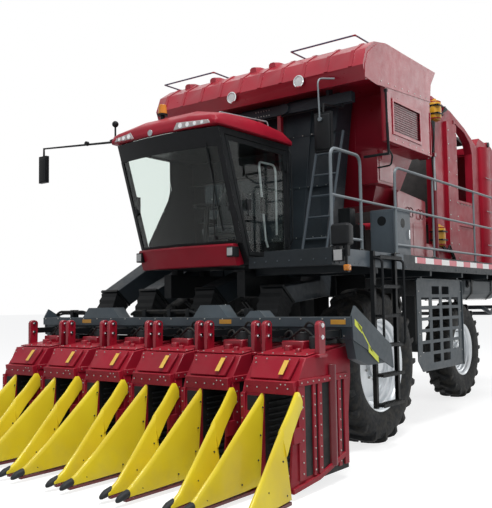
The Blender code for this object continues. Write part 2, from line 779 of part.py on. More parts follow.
def front_axle():
    """Portal beam: a box beam, two final-drive drums, the hub stubs and legs up to the rails."""
    inner_face = FRONT_TRACK / 2 - FRONT_TYRE_WIDTH / 2
    beam_half = inner_face - AXLE_DRUM_LENGTH
    low = FRONT_TYRE_RADIUS - AXLE_BEAM / 2
    high = FRONT_TYRE_RADIUS + AXLE_BEAM / 2
    axle = box("front_axle", (-beam_half, FRONT_AXLE_Y - AXLE_BEAM / 2, low),
               (beam_half, FRONT_AXLE_Y + AXLE_BEAM / 2, high), GREY)
    for side in (1, -1):
        stub_end = FRONT_TRACK / 2 + HUB_REACH
        add(axle, cylinder("front_stub", (side * beam_half / 2, FRONT_AXLE_Y, FRONT_TYRE_RADIUS),
                           (side * stub_end, FRONT_AXLE_Y, FRONT_TYRE_RADIUS), AXLE_RADIUS))
        add(axle, cylinder("final_drive",
                           (side * (beam_half - WELD_OVERLAP), FRONT_AXLE_Y, FRONT_TYRE_RADIUS),
                           (side * (inner_face - AXLE_DRUM_GAP), FRONT_AXLE_Y,
                            FRONT_TYRE_RADIUS), AXLE_DRUM_RADIUS))
        add(axle, box("axle_leg",
                      (side * RAIL_X - AXLE_LEG_WIDTH / 2, FRONT_AXLE_Y - AXLE_BEAM / 2 + WELD_OVERLAP,
                                   high - WELD_OVERLAP),
                      (side * RAIL_X + AXLE_LEG_WIDTH / 2, FRONT_AXLE_Y + AXLE_BEAM / 2 - WELD_OVERLAP,
                       RAIL_BOTTOM - TOUCH_GAP)))
    return axle


def rear_axle():
    """Steering axle beam with an eye at each end and a pedestal up to the chassis."""
    pin_x = REAR_TRACK / 2 - KINGPIN_INSET
    low = REAR_TYRE_RADIUS - EYE_HEIGHT / 2
    high = REAR_TYRE_RADIUS + EYE_HEIGHT / 2
    inset = EYE_HEIGHT * beam_inset_share
    axle = box("rear_axle", (-pin_x, REAR_AXLE_Y - REAR_BEAM_DEPTH / 2, low + inset),
               (pin_x, REAR_AXLE_Y + REAR_BEAM_DEPTH / 2, high - inset), GREY)
    add(axle, box("axle_pedestal", (-PEDESTAL_HALF, REAR_AXLE_Y - PEDESTAL_HALF, high - inset - WELD_OVERLAP),
                  (PEDESTAL_HALF, REAR_AXLE_Y + PEDESTAL_HALF, RAIL_BOTTOM - TOUCH_GAP)))
    for side in (1, -1):
        add(axle, cylinder("kingpin_eye", (side * pin_x, REAR_AXLE_Y, low), (side * pin_x, REAR_AXLE_Y, high),
                           EYE_RADIUS))
        cut(axle, cylinder("kingpin_bore", (side * pin_x, REAR_AXLE_Y, low - CUT_OVERRUN),
                           (side * pin_x, REAR_AXLE_Y, high + CUT_OVERRUN), KINGPIN_RADIUS + PIN_GAP))
    return axle


def steering_knuckle(label, side):
    """Fork over the axle eye, its kingpin and the wheel spindle."""
    pin_x = REAR_TRACK / 2 - KINGPIN_INSET
    low = REAR_TYRE_RADIUS - EYE_HEIGHT / 2 - MOVING_GAP
    high = REAR_TYRE_RADIUS + EYE_HEIGHT / 2 + MOVING_GAP
    near = pin_x + EYE_RADIUS + MOVING_GAP
    far = near + JAW_THICKNESS
    half = REAR_BEAM_DEPTH / 2

    def spread(first, second):
        return sorted((side * first, side * second))

    x_low, x_high = spread(near, far)
    knuckle = box("steering_knuckle_" + label, (x_low, REAR_AXLE_Y - half, low - JAW_THICKNESS),
                  (x_high, REAR_AXLE_Y + half, high + JAW_THICKNESS), GREY)
    jaw_low, jaw_high = spread(pin_x - half, far - WELD_OVERLAP)
    add(knuckle, box("upper_jaw", (jaw_low, REAR_AXLE_Y - half, high), (jaw_high, REAR_AXLE_Y + half,
                                                                       high + JAW_THICKNESS)))
    add(knuckle, box("lower_jaw", (jaw_low, REAR_AXLE_Y - half, low - JAW_THICKNESS),
                     (jaw_high, REAR_AXLE_Y + half, low)))
    add(knuckle, cylinder("kingpin", (side * pin_x, REAR_AXLE_Y, low - JAW_THICKNESS / 2),
                          (side * pin_x, REAR_AXLE_Y, high + JAW_THICKNESS / 2), KINGPIN_RADIUS))
    add(knuckle, cylinder("spindle", (side * (near + WELD_OVERLAP), REAR_AXLE_Y, REAR_TYRE_RADIUS),
                          (side * (REAR_TRACK / 2 + HUB_REACH), REAR_AXLE_Y, REAR_TYRE_RADIUS), AXLE_RADIUS))
    return knuckle


def chassis_frame():
    """Two high rails, cross members, and the brackets for the lift arms and cylinders."""
    frame = box("chassis_frame", (RAIL_X - RAIL_WIDTH / 2, CHASSIS_FRONT_Y, RAIL_BOTTOM),
                (RAIL_X + RAIL_WIDTH / 2, CHASSIS_REAR_Y, RAIL_TOP), GREY)
    add(frame, box("right_rail", (-RAIL_X - RAIL_WIDTH / 2, CHASSIS_FRONT_Y, RAIL_BOTTOM),
                   (-RAIL_X + RAIL_WIDTH / 2, CHASSIS_REAR_Y, RAIL_TOP)))
    reach = CHASSIS_REAR_Y - CHASSIS_FRONT_Y - CROSS_MEMBER
    for share in cross_member_shares:
        y = CHASSIS_FRONT_Y + share * reach
        add(frame, box("cross_member", (-RAIL_X, y, RAIL_BOTTOM),
                       (RAIL_X, y + CROSS_MEMBER, RAIL_TOP - WELD_OVERLAP)))
    add(frame, box("rear_cross_member", (-RAIL_X, REAR_AXLE_Y - PEDESTAL_HALF, RAIL_BOTTOM),
                   (RAIL_X, REAR_AXLE_Y + PEDESTAL_HALF, RAIL_TOP - WELD_OVERLAP)))
    bracket_inner = RAIL_X + RAIL_WIDTH / 2 - WELD_OVERLAP
    bracket_outer = LIFT_ARM_X - LIFT_ARM_WIDTH / 2 - MOVING_GAP
    outline = scaled(bracket_shares, (LIFT_PIVOT_Y - BRACKET_AHEAD, RAM_FOOT_Z - BRACKET_BELOW),
                     (BRACKET_DEPTH, RAIL_BOTTOM + WELD_OVERLAP - RAM_FOOT_Z + BRACKET_BELOW))
    for side in (1, -1):
        low = min(side * bracket_inner, side * bracket_outer)
        add(frame, flat_piece("lift_bracket", [outline], SIDE, low, bracket_outer - bracket_inner))
        pin_end = LIFT_ARM_X + LIFT_ARM_WIDTH / 2 + MOVING_GAP
        for y, z in ((LIFT_PIVOT_Y, LIFT_PIVOT_Z), (RAM_FOOT_Y, RAM_FOOT_Z)):
            add(frame, cylinder("lift_pin", (side * (bracket_inner + WELD_OVERLAP), y, z),
                                (side * pin_end, y, z),
                                LIFT_PIN_RADIUS))
        for share in cab_mount_shares:
            y = CHASSIS_FRONT_Y + share * reach
            add(frame, box("cab_mount",
                           (side * RAIL_X - RAIL_WIDTH / 2 + WELD_OVERLAP, y, RAIL_TOP - WELD_OVERLAP),
                           (side * RAIL_X + RAIL_WIDTH / 2 - WELD_OVERLAP, y + RAIL_WIDTH,
                            CAB_FLOOR_Z - TOUCH_GAP)))
        lug = [(CHASSIS_REAR_Y - HANDLER_LUG_ROOT, RAIL_BOTTOM + WELD_OVERLAP),
               (HANDLER_PIVOT_Y - HANDLER_LUG, HANDLER_PIVOT_Z + HANDLER_LUG),
               (HANDLER_PIVOT_Y - HANDLER_LUG, HANDLER_PIVOT_Z - HANDLER_LUG / 2),
               (HANDLER_PIVOT_Y, HANDLER_PIVOT_Z - HANDLER_LUG),
               (HANDLER_PIVOT_Y + HANDLER_LUG, HANDLER_PIVOT_Z - HANDLER_LUG / 2),
               (HANDLER_PIVOT_Y + HANDLER_LUG, HANDLER_PIVOT_Z + HANDLER_LUG / 2),
               (CHASSIS_REAR_Y - WELD_OVERLAP, RAIL_BOTTOM + WELD_OVERLAP)]
        eye = arc((HANDLER_PIVOT_Y, HANDLER_PIVOT_Z), HANDLER_TUBE + MOVING_GAP / 2, 0.0, 337.5, 15)
        add(frame, flat_piece("handler_lug", [lug, eye], SIDE, side * RAIL_X - HANDLER_BRACKET / 2,
                              HANDLER_BRACKET))
    add(frame, cylinder("bracket_tie", (-bracket_inner - WELD_OVERLAP, BRACKET_TIE_Y, BRACKET_TIE_Z),
                        (bracket_inner + WELD_OVERLAP, BRACKET_TIE_Y, BRACKET_TIE_Z), BRACKET_TIE_RADIUS, 16))
    return frame


def lift_ram(label, side):
    """Barrel on the chassis pin and a rod whose eye surrounds the lift arm's pin."""
    x = side * LIFT_ARM_X
    foot = Vector((x, RAM_FOOT_Y, RAM_FOOT_Z))
    head = Vector((x, RAM_HEAD_Y, RAM_HEAD_Z))
    way = (head - foot).normalized()
    half = RAM_EYE_WIDTH / 2
    across = Vector((half, 0, 0))
    through = Vector((RAM_EYE_WIDTH, 0, 0))
    barrel_end = foot + way * RAM_BARREL_LENGTH
    barrel = cylinder("lift_barrel_" + label, foot + way * RAM_EYE_RADIUS * ram_neck_share, barrel_end,
                      RAM_BARREL_RADIUS, 16,
                      BLACK)
    add(barrel, cylinder("barrel_eye", foot - across, foot + across, RAM_EYE_RADIUS, 16))
    cut(barrel, cylinder("barrel_eye_bore", foot - through, foot + through, LIFT_PIN_RADIUS + PIN_GAP, 16))
    cut(barrel, cylinder("barrel_bore", barrel_end - way * (RAM_ROD_HIDDEN + RAM_BARREL_RADIUS),
                         barrel_end + way,
                         RAM_ROD_RADIUS + PIN_GAP, 16))
    rod = cylinder("lift_rod_" + label, barrel_end - way * RAM_ROD_HIDDEN,
                   head - way * RAM_EYE_RADIUS * ram_neck_share,
                   RAM_ROD_RADIUS, 16, STEEL)
    add(rod, cylinder("rod_eye", head - across, head + across, RAM_EYE_RADIUS, 16))
    cut(rod, cylinder("rod_eye_bore", head - through, head + through, RAM_PIN_RADIUS + RAM_DRIFT, 16))
    return barrel, rod


def header_toolbar():
    """Stepped box beam, its raised brackets, marker boards, lift arms and ram pins."""
    back = TOOLBAR_FRONT_Y + TOOLBAR_DEPTH
    bar = box("header_toolbar", (-TOOLBAR_HALF, TOOLBAR_FRONT_Y, TOOLBAR_STEP_Z),
              (TOOLBAR_HALF, back, TOOLBAR_TOP),
              GREY)
    add(bar, box("lower_bar",
                 (-TOOLBAR_HALF + WELD_OVERLAP, TOOLBAR_FRONT_Y + TOOLBAR_STEP_IN, TOOLBAR_BOTTOM),
                 (TOOLBAR_HALF - WELD_OVERLAP, back - TOOLBAR_STEP_IN, TOOLBAR_STEP_Z + WELD_OVERLAP)))
    for middle, base, crest, height in TOOLBAR_BRACKETS:
        outline = [(middle - base / 2, TOOLBAR_TOP - WELD_OVERLAP),
                   (middle + base / 2, TOOLBAR_TOP - WELD_OVERLAP),
                   (middle + crest / 2, TOOLBAR_TOP + height), (middle - crest / 2, TOOLBAR_TOP + height)]
        add(bar, flat_piece("toolbar_bracket", [outline], FRONT, TOOLBAR_FRONT_Y + TOOLBAR_STEP_IN,
                            TOOLBAR_DEPTH - 2 * TOOLBAR_STEP_IN))
    board = scaled(marker_board_shares, (TOOLBAR_FRONT_Y, BOARD_BOTTOM), (BOARD_LENGTH, BOARD_HEIGHT))
    brace = scaled(board_brace_shares, (TOOLBAR_FRONT_Y, BOARD_BOTTOM), (BOARD_LENGTH, BOARD_HEIGHT))
    arm = scaled(lift_arm_shares, (LIFT_PIVOT_Y + LIFT_ARM_END, LIFT_PIVOT_Z),
                 (-LIFT_ARM_REACH, TOOLBAR_TOP - LIFT_PIVOT_Z))
    for side in (1, -1):
        edge = TOOLBAR_HALF - WELD_OVERLAP
        add(bar, flat_piece("marker_board", [board], SIDE, min(side * edge, side * (edge + BOARD_THICKNESS)),
                            BOARD_THICKNESS))
        add(bar, flat_piece("board_brace", [brace], SIDE, min(side * (edge - BRACE_WIDTH), side * edge),
                            BRACE_WIDTH + WELD_OVERLAP / 2))
        add(bar, flat_piece("lift_arm", [arm], SIDE, side * LIFT_ARM_X - LIFT_ARM_WIDTH / 2, LIFT_ARM_WIDTH))
        cut(bar, cylinder("pivot_bore", (side * (LIFT_ARM_X - LIFT_ARM_WIDTH), LIFT_PIVOT_Y, LIFT_PIVOT_Z),
                          (side * (LIFT_ARM_X + LIFT_ARM_WIDTH), LIFT_PIVOT_Y, LIFT_PIVOT_Z),
                          LIFT_PIN_RADIUS + PIN_GAP))
        half_slot = RAM_EYE_WIDTH / 2 + MOVING_GAP
        slot = box("ram_slot", (side * LIFT_ARM_X - half_slot, RAM_HEAD_Y - RAM_SLOT, RAM_HEAD_Z - RAM_SLOT),
                   (side * LIFT_ARM_X + half_slot, RAM_HEAD_Y + RAM_SLOT_REAR,
                    RAM_HEAD_Z + RAM_EYE_RADIUS + MOVING_GAP))
        cut(bar, slot)
        add(bar, cylinder("ram_pin",
                          (side * LIFT_ARM_X - LIFT_ARM_WIDTH / 2 + WELD_OVERLAP / 2, RAM_HEAD_Y, RAM_HEAD_Z),
                          (side * LIFT_ARM_X + LIFT_ARM_WIDTH / 2 - WELD_OVERLAP / 2, RAM_HEAD_Y, RAM_HEAD_Z),
                          RAM_PIN_RADIUS, 16))
    return bar


def divider(name, x, y, side):
    """Plough-shaped crop divider: a narrow ridge that climbs from a low point to the throat's upper corner."""
    sections = []
    for along, near, ridge, far, foot, crest in divider_section_shares[side]:
        at = y - along * DIVIDER_REACH
        low = foot * DIVIDER_HEIGHT + GROUND_GAP
        high = crest * DIVIDER_HEIGHT + GROUND_GAP
        top = x + ridge * ROW_PITCH
        half = min(DIVIDER_RIDGE / 2, (far - near) * ROW_PITCH / 4)
        sections.append([(x + near * ROW_PITCH, at, low), (x + far * ROW_PITCH, at, low),
                         (top + half, at, high),
                         (top - half, at, high)])
    return loft(name, sections)


def picker_head(index):
    """Red cabinet with an open throat through it, its dividers and the two hangers to the toolbar."""
    x = ROW_PITCH * (index - (ROW_COUNT + 1) / 2)
    left, right = x - HEAD_LEFT, x + HEAD_RIGHT
    toe = HEADER_FACE_Y - HEAD_TOE
    outline = scaled(head_side_shares, (toe, 0.0), (HEAD_DEPTH, HEAD_HEIGHT))
    head = flat_piece("picker_head_" + str(index), [outline], SIDE, left, right - left, RED)
    cut(head, box("throat", (x + THROAT_LEFT, toe - CUT_OVERRUN, -CUT_OVERRUN),
                  (x + THROAT_RIGHT, toe + HEAD_DEPTH + CUT_OVERRUN, THROAT_TOP)))
    hanger = scaled(hanger_shares, (HEADER_FACE_Y + HANGER_AHEAD, HANGER_FOOT),
                    (TOOLBAR_FRONT_Y + TOOLBAR_STEP_IN - TOUCH_GAP - HEADER_FACE_Y - HANGER_AHEAD,
                     HANGER_TOP - HANGER_FOOT))
    for low in (left - HANGER_WIDTH + WELD_OVERLAP, right - WELD_OVERLAP):
        add(head, flat_piece("hanger", [hanger], SIDE, low, HANGER_WIDTH))
    add(head, divider("left_divider", x, HEADER_FACE_Y, "left"))
    add(head, divider("right_divider", x, HEADER_FACE_Y, "right"))
    return head


def cab_outline(inset):
    """The cab's side view; the windscreen leans forward towards the roof."""
    return [(CAB_SILL_Y + inset, CAB_FLOOR_Z + inset), (CAB_SCREEN_FOOT_Y + inset, CAB_SILL_TOP),
            (CAB_SCREEN_HEAD_Y + inset, CAB_TOP - inset), (CAB_REAR_Y - inset, CAB_TOP - inset),
            (CAB_REAR_Y - inset, CAB_FLOOR_Z + inset)]


def screen_y(z):
    """Where the windscreen plane stands at a height."""
    share = (z - CAB_SILL_TOP) / (CAB_TOP - CAB_SILL_TOP)
    return CAB_SCREEN_FOOT_Y + share * (CAB_SCREEN_HEAD_Y - CAB_SCREEN_FOOT_Y)


def side_opening(inset):
    """Door and side-window opening, parallel to the leaning front pillar."""
    low = CAB_FLOOR_Z + DOOR_SILL + inset
    high = CAB_TOP - PILLAR - inset
    return [(screen_y(low) + PILLAR + inset, low), (screen_y(high) + PILLAR + inset, high),
            (CAB_REAR_Y - PILLAR - inset, high), (CAB_REAR_Y - PILLAR - inset, low)]


def cab_frame():
    """Hollow cab: floor, four pillars, header and sill, with every window and the doorway cut."""
    cab = flat_piece("cab_frame", [cab_outline(0.0)], SIDE, -CAB_HALF, 2 * CAB_HALF, GREY)
    cut(cab, flat_piece("cab_room", [cab_outline(CAB_WALL)], SIDE, -CAB_HALF + CAB_WALL,
                        2 * (CAB_HALF - CAB_WALL)))
    cut(cab, flat_piece("side_openings", [side_opening(0.0)], SIDE, -CAB_HALF - CUT_OVERRUN,
                        2 * (CAB_HALF + CUT_OVERRUN)))
    screen_low = CAB_SILL_TOP
    screen_high = CAB_TOP - PILLAR
    cut(cab, box("screen_opening", (-CAB_HALF + PILLAR, CAB_SCREEN_HEAD_Y - CUT_OVERRUN, screen_low),
                 (CAB_HALF - PILLAR, CAB_SILL_Y + CAB_WALL, screen_high)))
    cut(cab, box("rear_opening", (-CAB_HALF + PILLAR, CAB_REAR_Y - 2 * CAB_WALL, CAB_SILL_TOP + PILLAR),
                 (CAB_HALF - PILLAR, CAB_REAR_Y + CUT_OVERRUN, screen_high)))
    return cab


def windscreen():
    """One curved pane, bowed forward at the middle, standing just ahead of the pillars."""
    columns = 8
    low, high = CAB_SILL_TOP + TOUCH_GAP, CAB_TOP - TOUCH_GAP - MOVING_GAP
    sections = []
    for z in (low, high):
        outer = []
        inner = []
        for index in range(columns + 1):
            share = 2 * index / columns - 1
            x = share * CAB_HALF
            y = screen_y(z) - SCREEN_BULGE * (1 - share * share) - TOUCH_GAP
            outer.append((x, y - GLASS_THICKNESS, z))
            inner.append((x, y, z))
        sections.append(outer + list(reversed(inner)))
    return loft("windscreen", sections, GLASS)


def cab_glass():
    """Right side pane and rear pane are let into their openings; the rear pane carries round the corner."""
    outline = side_opening(TOUCH_GAP)
    pane = flat_piece("cab_side_glass", [outline], SIDE, -CAB_HALF + TOUCH_GAP, GLASS_THICKNESS, GLASS)
    rear = box("cab_rear_glass", (-CAB_HALF + PILLAR + TOUCH_GAP, CAB_REAR_Y - GLASS_THICKNESS - TOUCH_GAP,
                                  CAB_SILL_TOP + PILLAR + TOUCH_GAP),
               (CAB_HALF - PILLAR - TOUCH_GAP, CAB_REAR_Y - TOUCH_GAP, CAB_TOP - PILLAR - TOUCH_GAP), GLASS)
    return pane, rear


def cab_door():
    """Door frame in the left opening, hinged on the rear pillar, and its pane."""
    outer = side_opening(MOVING_GAP)
    inner = side_opening(MOVING_GAP + DOOR_FRAME)
    frame = flat_piece("cab_door", [outer, inner], SIDE, CAB_HALF - DOOR_THICKNESS, DOOR_THICKNESS, BLACK)
    pane = flat_piece("cab_door_glass", [side_opening(MOVING_GAP + DOOR_FRAME + TOUCH_GAP)], SIDE,
                      CAB_HALF - DOOR_THICKNESS / 2, GLASS_THICKNESS, GLASS)
    return frame, pane


def cab_roof():
    """Crowned roof with turned-down edges, wider than the cab."""
    low = CAB_TOP + TOUCH_GAP
    half = CAB_HALF + ROOF_OVERHANG
    sections = []
    for width, front, rear, rise in roof_section_shares:
        sections.append(rect_section(-half * width, half * width,
                                     ROOF_FRONT_Y + front * ROOF_CROWN, ROOF_REAR_Y - rear * ROOF_CROWN,
                                     low + rise * (ROOF_THICKNESS + ROOF_CROWN)))
    return loft("cab_roof", sections, RED)


def operator_seat():
    """Seat cushion, backrest and pedestal in one soft body."""
    y = CAB_REAR_Y - SEAT_BACK_GAP
    floor = CAB_FLOOR_Z + CAB_WALL + TOUCH_GAP
    seat = box("operator_seat", (-SEAT_HALF, y - SEAT_DEPTH, floor + SEAT_HEIGHT - SEAT_PAD),
               (SEAT_HALF, y, floor + SEAT_HEIGHT), SEAT)
    wide, behind = seat_back_shares
    half, front, rear = seat_pedestal_shares
    add(seat, box("backrest", (-SEAT_HALF * wide, y - SEAT_PAD, floor + SEAT_HEIGHT - SEAT_PAD / 2),
                  (SEAT_HALF * wide, y + SEAT_PAD * behind, floor + SEAT_HEIGHT + SEAT_BACK)))
    add(seat, box("seat_pedestal", (-SEAT_HALF * half, y - SEAT_DEPTH * front, floor),
                  (SEAT_HALF * half, y - SEAT_DEPTH * rear, floor + SEAT_HEIGHT - SEAT_PAD / 2)))
    return seat


def steering_column():
    """Column, its foot on the cab floor and the steering wheel."""
    floor = CAB_FLOOR_Z + CAB_WALL + TOUCH_GAP
    foot = Vector((0.0, COLUMN_FOOT_Y, floor))
    top = Vector((0.0, COLUMN_FOOT_Y + COLUMN_LEAN, floor + COLUMN_HEIGHT))
    way = (top - foot).normalized()
    column = box("steering_column", (-COLUMN_HALF, COLUMN_FOOT_Y - COLUMN_HALF, floor),
                 (COLUMN_HALF, COLUMN_FOOT_Y + COLUMN_HALF, floor + COLUMN_HALF), BLACK)
    add(column, cylinder("column_tube", foot + way * WELD_OVERLAP, top, COLUMN_HALF * column_tube_share, 12))
    side = Vector((1.0, 0.0, 0.0))
    lift = way.cross(side).normalized()
    rim = []
    for index in range(STEERING_STEPS):
        angle = math.tau * index / STEERING_STEPS
        rim.append(top + (side * math.cos(angle) + lift * math.sin(angle)) * STEERING_RADIUS)
    add(column, tube("steering_rim", rim, STEERING_TUBE, closed=True))
    add(column, tube("steering_spoke", [rim[0], rim[STEERING_STEPS // 2]],
                     STEERING_TUBE * steering_spoke_share))
    return column


def side_platform():
    """Deck beside the cab and along the left side, its edge beams, the front beam and the outriggers."""
    low = PLATFORM_TOP - PLATFORM_THICKNESS
    inner = CAB_HALF + PLATFORM_CAB_GAP
    outline = [(inner, PLATFORM_FRONT_Y), (PLATFORM_OUTER_X, PLATFORM_FRONT_Y),
               (PLATFORM_OUTER_X, PLATFORM_REAR_Y),
               (WALKWAY_INNER_X, PLATFORM_REAR_Y), (WALKWAY_INNER_X,
                                                    PLATFORM_BEND_Y), (inner, PLATFORM_BEND_Y)]
    deck = flat_piece("side_platform", [outline], PLAN, low, PLATFORM_THICKNESS, GREY)
    add(deck, box("edge_beam", (PLATFORM_OUTER_X - EDGE_BEAM, PLATFORM_FRONT_Y, PLATFORM_EDGE_BOTTOM),
                  (PLATFORM_OUTER_X, PLATFORM_REAR_Y, PLATFORM_EDGE_TOP)))
    add(deck, box("front_beam", (inner, PLATFORM_FRONT_Y, PLATFORM_EDGE_BOTTOM),
                  (PLATFORM_OUTER_X, PLATFORM_FRONT_Y + EDGE_BEAM, PLATFORM_TOP)))
    add(deck, box("front_kick_edge", (inner + DOOR_SWEEP, PLATFORM_FRONT_Y, PLATFORM_TOP - WELD_OVERLAP),
                  (PLATFORM_OUTER_X, PLATFORM_FRONT_Y + EDGE_BEAM, PLATFORM_EDGE_TOP)))
    for share in outrigger_shares:
        y = PLATFORM_FRONT_Y + share * (PLATFORM_REAR_Y - PLATFORM_FRONT_Y)
        add(deck, box("outrigger", (inner, y, OUTRIGGER_BOTTOM),
                      (PLATFORM_OUTER_X - WELD_OVERLAP, y + EDGE_BEAM, low + WELD_OVERLAP)))
        add(deck, box("outrigger_root", (RAIL_X + RAIL_WIDTH / 2 + TOUCH_GAP, y, OUTRIGGER_BOTTOM),
                      (inner + WELD_OVERLAP, y + EDGE_BEAM, CAB_FLOOR_Z - MOVING_GAP)))
    return deck


def service_cabinet():
    """Plain cabinet standing on the walkway."""
    return box("service_cabinet", (CABINET_X, CABINET_Y, PLATFORM_TOP + TOUCH_GAP),
               (CABINET_X + CABINET_WIDTH, CABINET_Y + CABINET_DEPTH, CABINET_TOP), GREY)


def access_ladder():
    """Two stiles, perforated steps and a curved handrail each side, hung on the platform edge."""
    inner = PLATFORM_OUTER_X + TOUCH_GAP
    outer = inner + LADDER_STILE
    top = PLATFORM_EDGE_TOP
    front, rear = LADDER_Y, LADDER_Y + LADDER_WIDTH
    ladder = box("access_ladder", (inner, front, LADDER_FOOT), (outer, front + LADDER_STILE, top), GREY)
    add(ladder, box("rear_stile", (inner, rear - LADDER_STILE, LADDER_FOOT), (outer, rear, top)))
    for index in range(LADDER_STEPS):
        z = LADDER_FOOT + WELD_OVERLAP + index * LADDER_PITCH
        add(ladder, box("step", (inner + WELD_OVERLAP / 2, front + WELD_OVERLAP, z),
                        (outer + LADDER_STEP_OUT, rear - WELD_OVERLAP, z + LADDER_STEP_THICKNESS)))
    for y in (front + LADDER_STILE / 2, rear - LADDER_STILE / 2):
        low = LADDER_FOOT + LADDER_RAIL_FOOT
        out = outer + LADDER_RAIL_OUT
        add(ladder, tube("ladder_rail",
                         [(inner + LADDER_STILE / 2, y, low), (out, y, low + LADDER_RAIL_OUT / 2),
                                         (out, y, top - LADDER_RAIL_OUT * 2), (inner + LADDER_STILE / 2, y,
                                                                              top - LADDER_RAIL_OUT)], RAIL_TUBE))
    return ladder


def platform_railings():
    """Posts and three rails along the platform edge, and the leaning ladder to the roof."""
    x = PLATFORM_OUTER_X - EDGE_BEAM / 2
    foot = PLATFORM_EDGE_TOP + TOUCH_GAP
    rails = None
    for start, end in RAILING_RUNS:
        corner = RAIL_TUBE * rail_corner_share
        loop = [(x, start, foot), (x, start, RAILING_TOP - corner), (x, start + corner, RAILING_TOP),
                (x, end - corner, RAILING_TOP), (x, end, RAILING_TOP - corner), (x, end, foot)]
        run = tube("platform_railing" if rails is None else "railing_run", loop, RAIL_TUBE, GREY)
        if rails is None:
            rails = run
        else:
            add(rails, run)
        for z in (RAILING_MIDDLE, RAILING_LOW):
            add(rails, tube("railing_bar", [(x, start, z), (x, end, z)], RAIL_TUBE * lower_rail_share))
    add(rails, tube("railing_link",
                    [(x, RAILING_RUNS[0][1], RAILING_MIDDLE), (x, RAILING_RUNS[1][0], RAILING_MIDDLE)],
                    RAIL_TUBE * link_rail_share))
    add(rails, box("lamp_box", (LAMP_BOX_X, LAMP_BOX_Y, LAMP_BOX_BOTTOM),
                   (LAMP_BOX_X + LAMP_BOX_WIDTH, LAMP_BOX_Y + LAMP_BOX_DEPTH, LAMP_BOX_TOP)))
    lamp_x = PLATFORM_OUTER_X + MOVING_GAP * 2
    add(rails, box("corner_lamp",
                   (lamp_x, LAMP_BOX_Y - WELD_OVERLAP, LAMP_BOX_BOTTOM + CORNER_LAMP_SINK - 2 * CORNER_LAMP),
                   (lamp_x + CORNER_LAMP, LAMP_BOX_Y + LAMP_BOX_DEPTH - WELD_OVERLAP,
                    LAMP_BOX_BOTTOM + CORNER_LAMP_SINK)))
    return rails


def upper_ladder():
    """Leaning ladder from the deck behind the door up to the roof."""
    ladder = None
    for x in (UPPER_LADDER_X, UPPER_LADDER_X + UPPER_LADDER_WIDTH):
        stile = tube("upper_ladder" if ladder is None else "upper_stile",
                     [(x, UPPER_LADDER_Y, PLATFORM_TOP + TOUCH_GAP),
                      (x, UPPER_LADDER_Y, PLATFORM_TOP + EDGE_BEAM),
                      (x + UPPER_LADDER_SWAY, UPPER_LADDER_Y + UPPER_LADDER_LEAN,
                       UPPER_LADDER_TOP)], RAIL_TUBE, GREY)
        if ladder is None:
            ladder = stile
        else:
            add(ladder, stile)
    for index in range(1, UPPER_LADDER_RUNGS + 1):
        share = index / (UPPER_LADDER_RUNGS + 1)
        z = PLATFORM_TOP + share * (UPPER_LADDER_TOP - PLATFORM_TOP)
        y = UPPER_LADDER_Y + share * UPPER_LADDER_LEAN
        x = UPPER_LADDER_X + share * UPPER_LADDER_SWAY
        add(ladder, tube("upper_rung", [(x, y, z), (x + UPPER_LADDER_WIDTH, y, z)], RAIL_TUBE * rung_share))
    return ladder


def guard_panel():
    """Perforated guard between the wheels, hung from the platform."""
    outline = [(GUARD_FRONT_Y, GUARD_BOTTOM + GUARD_CHAMFER), (GUARD_FRONT_Y, GUARD_TOP)]
    for y in (GUARD_FRONT_Y + GUARD_CHAMFER, GUARD_REAR_Y - GUARD_CHAMFER):
        low, high = y - EDGE_BEAM / 2, y + EDGE_BEAM / 2
        tab_top = PLATFORM_TOP - PLATFORM_THICKNESS - TOUCH_GAP
        outline += [(low, GUARD_TOP), (low, tab_top), (high, tab_top), (high, GUARD_TOP)]
    outline += [(GUARD_REAR_Y, GUARD_TOP), (GUARD_REAR_Y, GUARD_BOTTOM),
                (GUARD_FRONT_Y + GUARD_CHAMFER, GUARD_BOTTOM)]
    outlines = [outline]
    rows = len(GUARD_ROW_HOLE_COUNTS)
    pitch_z = (GUARD_TOP - GUARD_BOTTOM) / (rows + 1)
    pitch_y = (GUARD_REAR_Y - GUARD_FRONT_Y) / (max(GUARD_ROW_HOLE_COUNTS) + GUARD_MARGIN_SHARE)
    middle = (GUARD_FRONT_Y + GUARD_REAR_Y) / 2
    for row, count in enumerate(GUARD_ROW_HOLE_COUNTS, start=1):
        z = GUARD_TOP - row * pitch_z
        for hole in range(count):
            y = middle + (hole - (count - 1) / 2) * pitch_y
            half_y = pitch_y * GUARD_HOLE_SHARE / 2
            half_z = pitch_z * GUARD_HOLE_SHARE / 2
            outlines.append(rectangle((y - half_y, z - half_z), (y + half_y, z + half_z)))
    return flat_piece("guard_panel", outlines, SIDE, GUARD_X - GUARD_THICKNESS, GUARD_THICKNESS, GREY)


def fuel_tank():
    """Tank slung under the walkway ahead of the rear wheel, chamfered along its lower edge."""
    outline = [(TANK_INNER_X, TANK_BOTTOM), (TANK_OUTER_X - TANK_CHAMFER, TANK_BOTTOM),
               (TANK_OUTER_X, TANK_BOTTOM + TANK_CHAMFER), (TANK_OUTER_X, OUTRIGGER_BOTTOM - TOUCH_GAP),
               (TANK_INNER_X, OUTRIGGER_BOTTOM - TOUCH_GAP)]
    return flat_piece("fuel_tank", [outline], FRONT, TANK_FRONT_Y, TANK_LENGTH, SILVER)


def engine_block():
    return box("engine_block", (-ENGINE_HALF, ENGINE_Y, RAIL_TOP + TOUCH_GAP),
               (ENGINE_HALF, ENGINE_Y + ENGINE_LENGTH, RAIL_TOP + ENGINE_HEIGHT), BLACK)


